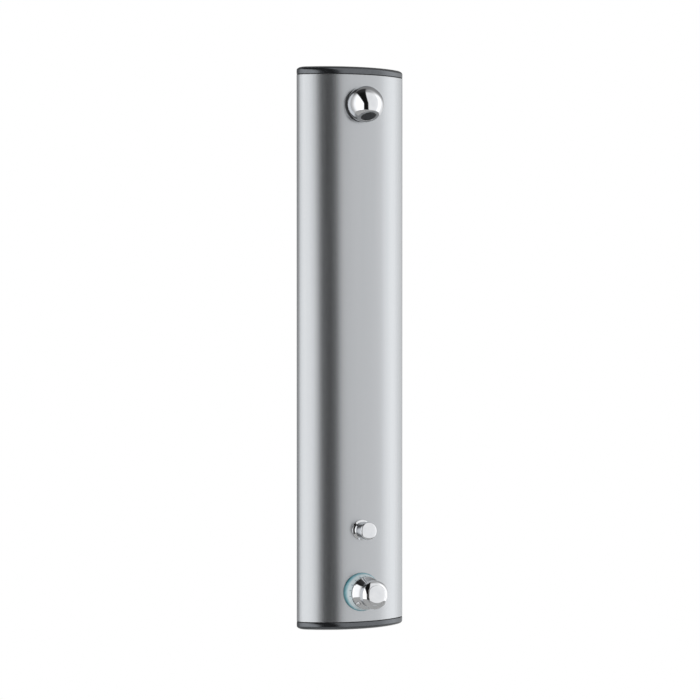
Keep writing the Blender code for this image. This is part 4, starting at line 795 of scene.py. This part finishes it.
slope_run, slope_rise = DIAL_SHOULDER - DIAL_MOUTH, DIAL_TOP - DIAL_BAND
tick_radius = DIAL_MOUTH + slope_run * (DIAL_TOP - TICK_RISE) / slope_rise
scale = holder("scale_place", [(0.0, 0.0, 0.0)])
run_tree(scale, tree, {"Length": TICK_LENGTH, "Width": TICK_WIDTH, "Thickness": TICK_PROUD,
                       "Mouth Radius": tick_radius,
                       "Slope": math.atan2(slope_rise, slope_run), "Sweep": math.radians(20),
                       "Start": math.radians(-10)}, ink)
scale_mesh = plain_mesh(scale)
scale_mesh.transform(on_cover(KNOB_LEVEL) @ Matrix.Translation((0.0, 0.0, TICK_RISE)))
fit("dial_scale_ticks", scale_mesh, ink, "panel", "blue_dial_plastic")

# Painted shade: a black rubber ring set in the gap between the dial and the skirt, a dark part put where the gap only
# lies in shadow.
SHADE_RING_FRONT = 0.0207
shade_ring_profile = [(0.0290, SHADE_RING_FRONT, 0.0003), (0.0290, DIAL_TOP + 0.0001, 0.0003), (0.0245, DIAL_TOP + 0.0001),
                 (0.0245, SHADE_RING_FRONT)]
fit("dial_painted_shade_ring", turned("painted_shade_ring", shade_ring_profile, on_cover(KNOB_LEVEL), ring=True), rubber, "panel",
    "dark_rubber")


# ---------------------------------------------------------------- control knob
# Three chromed turnings on one brass spindle: a conical skirt, a round grip and the plain disc that
# hides the fixing screw. A small spring-loaded button in the skirt frees the knob past its stop.

WAIST, SKIRT_RADIUS, SKIRT_REAR, GRIP_REAR, KNOB_REACH = 0.0205, 0.0290, 0.0210, 0.0425, 0.0643
GRIP_RADIUS, SEAT_RADIUS, FACE_SEAT, KNOB_CROWN = 0.0250, 0.0178, 0.0600, 0.0078
SCREW_BORE, SCREW_SEAT = 0.0038, 0.0065
RELEASE_ANGLE, RELEASE_RADIUS, RELEASE_LEVEL = math.radians(222.0), 0.0242, 0.0265

skirt_profile = [(WAIST, GRIP_REAR - CLEAR), (WAIST, 0.0382, 0.0012), (WAIST + 0.0015, 0.0347, 0.0020),
                 (SKIRT_RADIUS - 0.0012, 0.0248, 0.0008),
                 (SKIRT_RADIUS, 0.0236, 0.0006), (SKIRT_RADIUS, SKIRT_REAR, 0.0003),
                 (SKIRT_RADIUS - 0.0022, SKIRT_REAR, 0.0003),
                 (WAIST - 0.0022, 0.0355), (SCREW_SEAT, 0.0355), (SCREW_SEAT, 0.0250), (SCREW_BORE, 0.0250),
                 (SCREW_BORE, GRIP_REAR - CLEAR)]


def release_shape(name, extra, long):
    """The release's plug: an elliptical bar that lies across the skirt's slope."""
    shape = bmesh.new()
    bmesh.ops.create_cone(shape, cap_ends=True, segments=64, radius1=1.0, radius2=1.0, depth=1.0)
    bmesh.ops.scale(shape, vec=(0.0036 + extra, 0.0052 + extra, 0.0085 + long), verts=shape.verts)
    if not long:
        edge = [item for item in shape.edges if all(vert.co.z > 0 for vert in item.verts)]
        bmesh.ops.bevel(shape, geom=edge, offset=0.0014, segments=8, affect="EDGES", profile=0.5)
    outward_flat = Vector((math.cos(RELEASE_ANGLE), 0.0, math.sin(RELEASE_ANGLE)))
    outward = (outward_flat + Vector((0.0, -0.75, 0.0))).normalized()
    sideways = outward.cross(Vector((0.0, -1.0, 0.0))).normalized()
    turn = Matrix((sideways, outward.cross(sideways), outward)).transposed().to_4x4()
    if turn.determinant() < 0:
        turn = Matrix((-sideways, outward.cross(sideways), outward)).transposed().to_4x4()
    centre = Vector((0.0, -COVER_DEPTH - RELEASE_LEVEL, KNOB_LEVEL)) + outward_flat * RELEASE_RADIUS
    bmesh.ops.transform(shape, matrix=Matrix.Translation(centre) @ turn, verts=shape.verts)
    thing = holder(name, [])
    shape.to_mesh(thing.data)
    shape.free()
    return thing


pocket = release_shape("release_pocket", CLEAR, 0.004)
skirt = holder("skirt_shape", [])
skirt.data = turned("skirt", skirt_profile, on_cover(KNOB_LEVEL), 160, ring=True)
carve(skirt, [pocket])
skirt_mesh = plain_mesh(skirt)
discard([pocket])
fit("chromed_skirt", skirt_mesh, chrome, "knob", "chrome_plate", "knob_skirt")
fit("release_button", plain_mesh(release_shape("release_plug", 0.0, 0.0)), chrome, "release", "chrome_plate",
    "stop_release")


def crown(radius):
    """The grip's front: almost flat in the middle, falling away ever faster towards its edge."""
    return KNOB_REACH - KNOB_CROWN * (radius / GRIP_RADIUS) ** 4


rim = [SEAT_RADIUS + (GRIP_RADIUS - SEAT_RADIUS) * i / 16 for i in range(17)]
grip_profile = [(SEAT_RADIUS + 0.0001, crown(SEAT_RADIUS) - 0.0001)] + [(radius, crown(radius)) for radius in rim[1:]]
grip_profile[-1] = (*grip_profile[-1], 0.0012)
grip_profile += [(GRIP_RADIUS, GRIP_REAR + 0.003, 0.0012), (GRIP_RADIUS - 0.002, GRIP_REAR, 0.0006),
                 (SCREW_BORE, GRIP_REAR),
                 (SCREW_BORE, FACE_SEAT - 0.006), (SCREW_SEAT, FACE_SEAT - 0.006), (SCREW_SEAT, FACE_SEAT),
                 (SEAT_RADIUS, FACE_SEAT),
                 (SEAT_RADIUS, crown(SEAT_RADIUS) - 0.0002)]
fit("chromed_grip", turned("grip", grip_profile, on_cover(KNOB_LEVEL), 160, ring=True), chrome, "knob",
    "chrome_plate", "knob_handle")
disc = SEAT_RADIUS - CLEAR
face_profile = [(disc * i / 16, crown(disc * i / 16)) for i in range(16)]
face_profile += [(disc, crown(disc), 0.0002), (disc, FACE_SEAT + CLEAR), (0.0, FACE_SEAT + CLEAR)]
fit("chromed_face_disc", turned("face_disc", face_profile, on_cover(KNOB_LEVEL)), chrome, "knob", "chrome_plate",
    "knob_face")


# ---------------------------------------------------------------- brass bodies
# Behind the cover, five sand-cast brass bodies carry the water: the head elbow, the timed valve, the
# mixer and its two inlet elbows. Their skins are as cast; the bores are machined afterwards.

WATERWAY = 0.0205
SOCKET, SOCKET_REACH, SOCKET_SEAT, PIPE_BORE = 0.0105, 0.030, 0.0063, 0.005
MIXER_HALF, INLET_X = 0.036, 0.058

# Brass, sand cast then tumbled: warm, dull and slightly pitted, with darker tarnish in patches.
cast_brass, tree, skin = new_finish("sand_cast_brass", "b58f52", 1.0, 0.44)
wear(tree, skin, tints=((0.007, 5.0), "96713b", "c49e60"),
     sheen=((0.0025, 3.0), 0.36, 0.56),
     bumps=((0.0008, 3.0), 0.00006))


def casting(name, bars, bores):
    """Round bars grown into one cast skin with soft fillets where they meet, then bored through."""
    solids = [cylinder_cutter(name + "_bar", *bar, 64) for bar in bars]
    body = solids[0]
    carve(body, solids[1:], "UNION")
    skin_step = body.modifiers.new("Cast skin", "REMESH")
    skin_step.mode = "VOXEL"
    skin_step.voxel_size = 0.0009
    fillets = body.modifiers.new("Fillets", "SMOOTH")
    fillets.factor = 0.5
    fillets.iterations = 5
    drills = [cylinder_cutter(name + "_bore", *bore, 48) for bore in bores]
    carve(body, drills)
    mesh = plain_mesh(body, 40.0)
    discard(solids[1:] + drills)
    return mesh


def socket_bar(level, way):
    return (0.0, -WATERWAY, level), (0.0, -WATERWAY, level + way * SOCKET_REACH), SOCKET


def socket_bores(level, way):
    """A stepped bore: the pipe's seat at the mouth and the narrower waterway behind it."""
    mouth = level + way * (SOCKET_REACH + 0.002)
    return [((0.0, -WATERWAY, level + way * 0.0207), (0.0, -WATERWAY, mouth), SOCKET_SEAT),
            ((0.0, -WATERWAY, level), (0.0, -WATERWAY, mouth), PIPE_BORE)]


elbow = casting("head_elbow", [((0.0, -0.0070, HEAD_LEVEL), (0.0, -0.0438, HEAD_LEVEL), 0.0125),
                               ((0.0, -WATERWAY, HEAD_LEVEL), (0.0, -0.0622, HEAD_LEVEL), 0.0098),
                               socket_bar(HEAD_LEVEL, -1)],
                [((0.0, -0.0145, HEAD_LEVEL), (0.0, -0.0642, HEAD_LEVEL), 0.0065)] + socket_bores(HEAD_LEVEL, -1))
fit("cast_head_elbow", elbow, cast_brass, "panel", "cast_brass", "head_elbow")
valve = casting("timed_valve", [((0.0, -0.0075, BUTTON_LEVEL), (0.0, -0.0435, BUTTON_LEVEL), 0.0165),
                                ((0.0, -WATERWAY, BUTTON_LEVEL), (0.0, -0.0556, BUTTON_LEVEL), 0.0123),
                                socket_bar(BUTTON_LEVEL, 1), socket_bar(BUTTON_LEVEL, -1)],
                [((0.0, -0.0115, BUTTON_LEVEL), (0.0, -0.0576, BUTTON_LEVEL), 0.0095)]
                + socket_bores(BUTTON_LEVEL, 1) + socket_bores(BUTTON_LEVEL, -1))
fit("cast_timed_valve", valve, cast_brass, "panel", "cast_brass", "timed_valve_body")
mixer = casting("mixer", [((-MIXER_HALF, -WATERWAY, KNOB_LEVEL), (MIXER_HALF, -WATERWAY, KNOB_LEVEL), 0.0165),
                          ((0.0, -WATERWAY, KNOB_LEVEL), (0.0, -0.0600, KNOB_LEVEL), 0.0143),
                          socket_bar(KNOB_LEVEL, 1)],
                [((-0.038, -WATERWAY, KNOB_LEVEL), (0.038, -WATERWAY, KNOB_LEVEL), 0.0105),
                 ((0.0, -WATERWAY, KNOB_LEVEL), (0.0, -0.0620, KNOB_LEVEL), 0.0100)] + socket_bores(KNOB_LEVEL, 1))
fit("cast_mixer_body", mixer, cast_brass, "panel", "cast_brass", "mixer_body")
for side, way in (("cold", 1), ("hot", -1)):
    x = way * INLET_X
    inlet = casting(side + "_inlet", [((way * 0.0363, -WATERWAY, KNOB_LEVEL), (way * 0.0704, -WATERWAY, KNOB_LEVEL),
                                       SOCKET),
                                      ((x, -0.0290, KNOB_LEVEL), (x, -REAR_EDGE, KNOB_LEVEL), 0.0112),
                                      ((x, -WATERWAY, KNOB_LEVEL + 0.0041), (x, -WATERWAY, KNOB_LEVEL + 0.0190),
                                       0.0085)],
                    [((x, -WATERWAY - 0.0013, KNOB_LEVEL), (x, 0.001, KNOB_LEVEL), 0.0075),
                     ((way * 0.0343, -WATERWAY, KNOB_LEVEL), (way * 0.0652, -WATERWAY, KNOB_LEVEL), 0.0066),
                     ((x, -WATERWAY, KNOB_LEVEL + 0.0023), (x, -WATERWAY, KNOB_LEVEL + 0.0210), 0.0045)])
    fit("cast_" + side + "_inlet", inlet, cast_brass, "panel", "cast_brass", side + "_inlet_elbow")


# ---------------------------------------------------------------- nuts
# Hexagon nuts turned from brass bar: four grip the pipes, three pull the valves' necks to the cover
# and two draw the inlet elbows up to the mixer. Each has a 30 degree chamfer at both ends.

# Brass, turned bar: brighter and yellower than the castings, with fine tool rings.
turned_brass, tree, skin = new_finish("turned_brass_bar", "cfa964", 1.0, 0.26)
wear(tree, skin, tints=((0.005, 3.0), "bd9550", "d6b170"),
     sheen=((0.0012, 2.0), 0.20, 0.34),
     bumps=((0.0005, 1.0), 0.000006))

tree, given = shape_tree("hexagon_nuts", ["Flats", "Length", "Bore", "Turn X", "Turn Y"])
corner = add_node(tree, "ShaderNodeMath", {0: given.outputs["Flats"], 1: math.sqrt(3)}, operation="DIVIDE")
bar = add_node(tree, "GeometryNodeMeshCylinder", {"Vertices": 6, "Radius": corner, "Depth": given.outputs["Length"]})
face = add_node(tree, "ShaderNodeMath", {0: given.outputs["Flats"], 1: 0.485}, operation="MULTIPLY")
flare = add_node(tree, "ShaderNodeMath", {0: given.outputs["Length"], 1: math.sqrt(3), 2: face},
                 operation="MULTIPLY_ADD")
near = add_node(tree, "GeometryNodeMeshCone", {"Vertices": 72, "Radius Top": face, "Radius Bottom": flare,
                "Depth": given.outputs["Length"]})
far = add_node(tree, "GeometryNodeMeshCone", {"Vertices": 72, "Radius Top": flare, "Radius Bottom": face,
               "Depth": given.outputs["Length"]})
half = add_node(tree, "ShaderNodeMath", {0: given.outputs["Length"], 1: -0.5}, operation="MULTIPLY")
down = add_node(tree, "ShaderNodeCombineXYZ", {2: half})
near_low = add_node(tree, "GeometryNodeTransform", {0: near, "Translation": down})
far_low = add_node(tree, "GeometryNodeTransform", {0: far, "Translation": down})
chamfered = add_node(tree, "GeometryNodeMeshBoolean", {"Mesh 2": bar}, operation="INTERSECT", solver="EXACT")
for cone in (near_low, far_low):
    tree.links.new(cone.outputs[0], chamfered.inputs["Mesh 2"])
drill = add_node(tree, "GeometryNodeMeshCylinder", {"Vertices": 48, "Radius": given.outputs["Bore"], "Depth": 0.05})
nut = add_node(tree, "GeometryNodeMeshBoolean", {"Mesh 1": chamfered, "Mesh 2": drill},
               operation="DIFFERENCE", solver="EXACT")
turn = add_node(tree, "ShaderNodeCombineXYZ", {0: given.outputs["Turn X"], 1: given.outputs["Turn Y"]})
threaded_on = add_node(tree, "GeometryNodeInstanceOnPoints", {"Points": given.outputs["Geometry"], "Instance": nut,
                       "Rotation": turn})
end_tree(tree, given, threaded_on.outputs[0])

QUARTER = math.radians(90)
NUTS = [("pipe_nuts", ["feed_lower_nut", "feed_upper_nut", "riser_lower_nut", "riser_upper_nut"], 0.022, 0.0120,
         0.0063, 0.0, 0.0),
        ("head_nut", ["head_lock_nut"], 0.027, 0.0045, 0.0103, QUARTER, 0.0),
        ("valve_nut", ["valve_lock_nut"], 0.032, 0.0045, 0.0128, QUARTER, 0.0),
        ("mixer_nut", ["mixer_lock_nut"], 0.036, 0.0045, 0.0148, QUARTER, 0.0),
        ("union_nuts", ["cold_union_nut", "hot_union_nut"], 0.029, 0.0080, 0.0108, 0.0, QUARTER)]
for name, nodes, flats, length, bore, turn_x, turn_y in NUTS:
    places = [(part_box(node)[0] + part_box(node)[1]) / 2 for node in nodes]
    nuts = holder(name + "_places", places)
    run_tree(nuts, tree, {"Flats": flats, "Length": length, "Bore": bore, "Turn X": turn_x, "Turn Y": turn_y},
             turned_brass)
    fit("hexagon_" + name, plain_mesh(nuts), turned_brass, "panel", "cast_brass", *nodes)


# ---------------------------------------------------------------- pipes, frame and small parts
# Two copper pipes join the bodies and sit in moulded clips. A pressed steel frame with keyholes
# hangs it all on the wall; small turned and moulded parts work inside the castings.

# Copper, hard drawn: bright pink-brown with drawing lines along the pipe and brown tarnish clouds.
drawn_copper, tree, skin = new_finish("hard_drawn_copper", "c6805f", 1.0, 0.26)
wear(tree, skin, tints=((0.012, 4.0, (1.0, 1.0, 3.0)), "a8623f", "d0906d"),
     sheen=((0.0012, 2.0, (1.0, 1.0, 40.0)), 0.20, 0.36),
     bumps=((0.0008, 1.0, (1.0, 1.0, 60.0)), 0.000004))

for node in ("feed_pipe", "riser_pipe"):
    low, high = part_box(node)
    tube = [(0.0060, high.z, 0.0003), (0.0060, low.z, 0.0003), (0.0050, low.z), (0.0050, high.z), (0.0055, high.z)]
    tube_mesh = turned(node, tube, Matrix.Translation((0.0, -WATERWAY, 0.0)), 64, ring=True)
    fit("copper_" + node, tube_mesh, drawn_copper, "panel", "copper_tube", node)

# Stainless steel, cold rolled sheet: even grey with a fine upright rolling grain.
rolled_steel, tree, skin = new_finish("rolled_stainless_sheet", "b4b6b8", 1.0, 0.34)
wear(tree, skin, tints=((0.0016, 2.0, (1.0, 1.0, 40.0)), "a6a8ab", "bec0c2"),
     sheen=((0.0040, 2.0, (1.0, 1.0, 12.0)), 0.28, 0.42),
     bumps=((0.0007, 1.0, (1.0, 1.0, 50.0)), 0.000004))

# Acetal, moulded: waxy white with a low sheen and a fine moulding grain.
acetal, tree, skin = new_finish("moulded_white_acetal", "e7e6e0", 0.0, 0.36)
wear(tree, skin, tints=((0.004, 3.0), "dfded6", "eceae6"), sheen=((0.0030,), 0.30, 0.44), bumps=((0.0008,), 0.000008))

for finish, nodes in ((rolled_steel, ("wall_frame", "inlet_bracket")),
                      (turned_steel, ("knob_screw", "cold_stop_spindle", "hot_stop_spindle")),
                      (turned_brass, ("head_backplate", "mixer_spindle", "mixer_gland")),
                      (acetal, ("lower_pipe_clip", "upper_pipe_clip", "flow_regulator", "thermostat_carrier",
                                "cold_check_valve",
                                "hot_check_valve"))):
    for node in nodes:
        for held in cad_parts[node].material_slots:
            held.material = finish
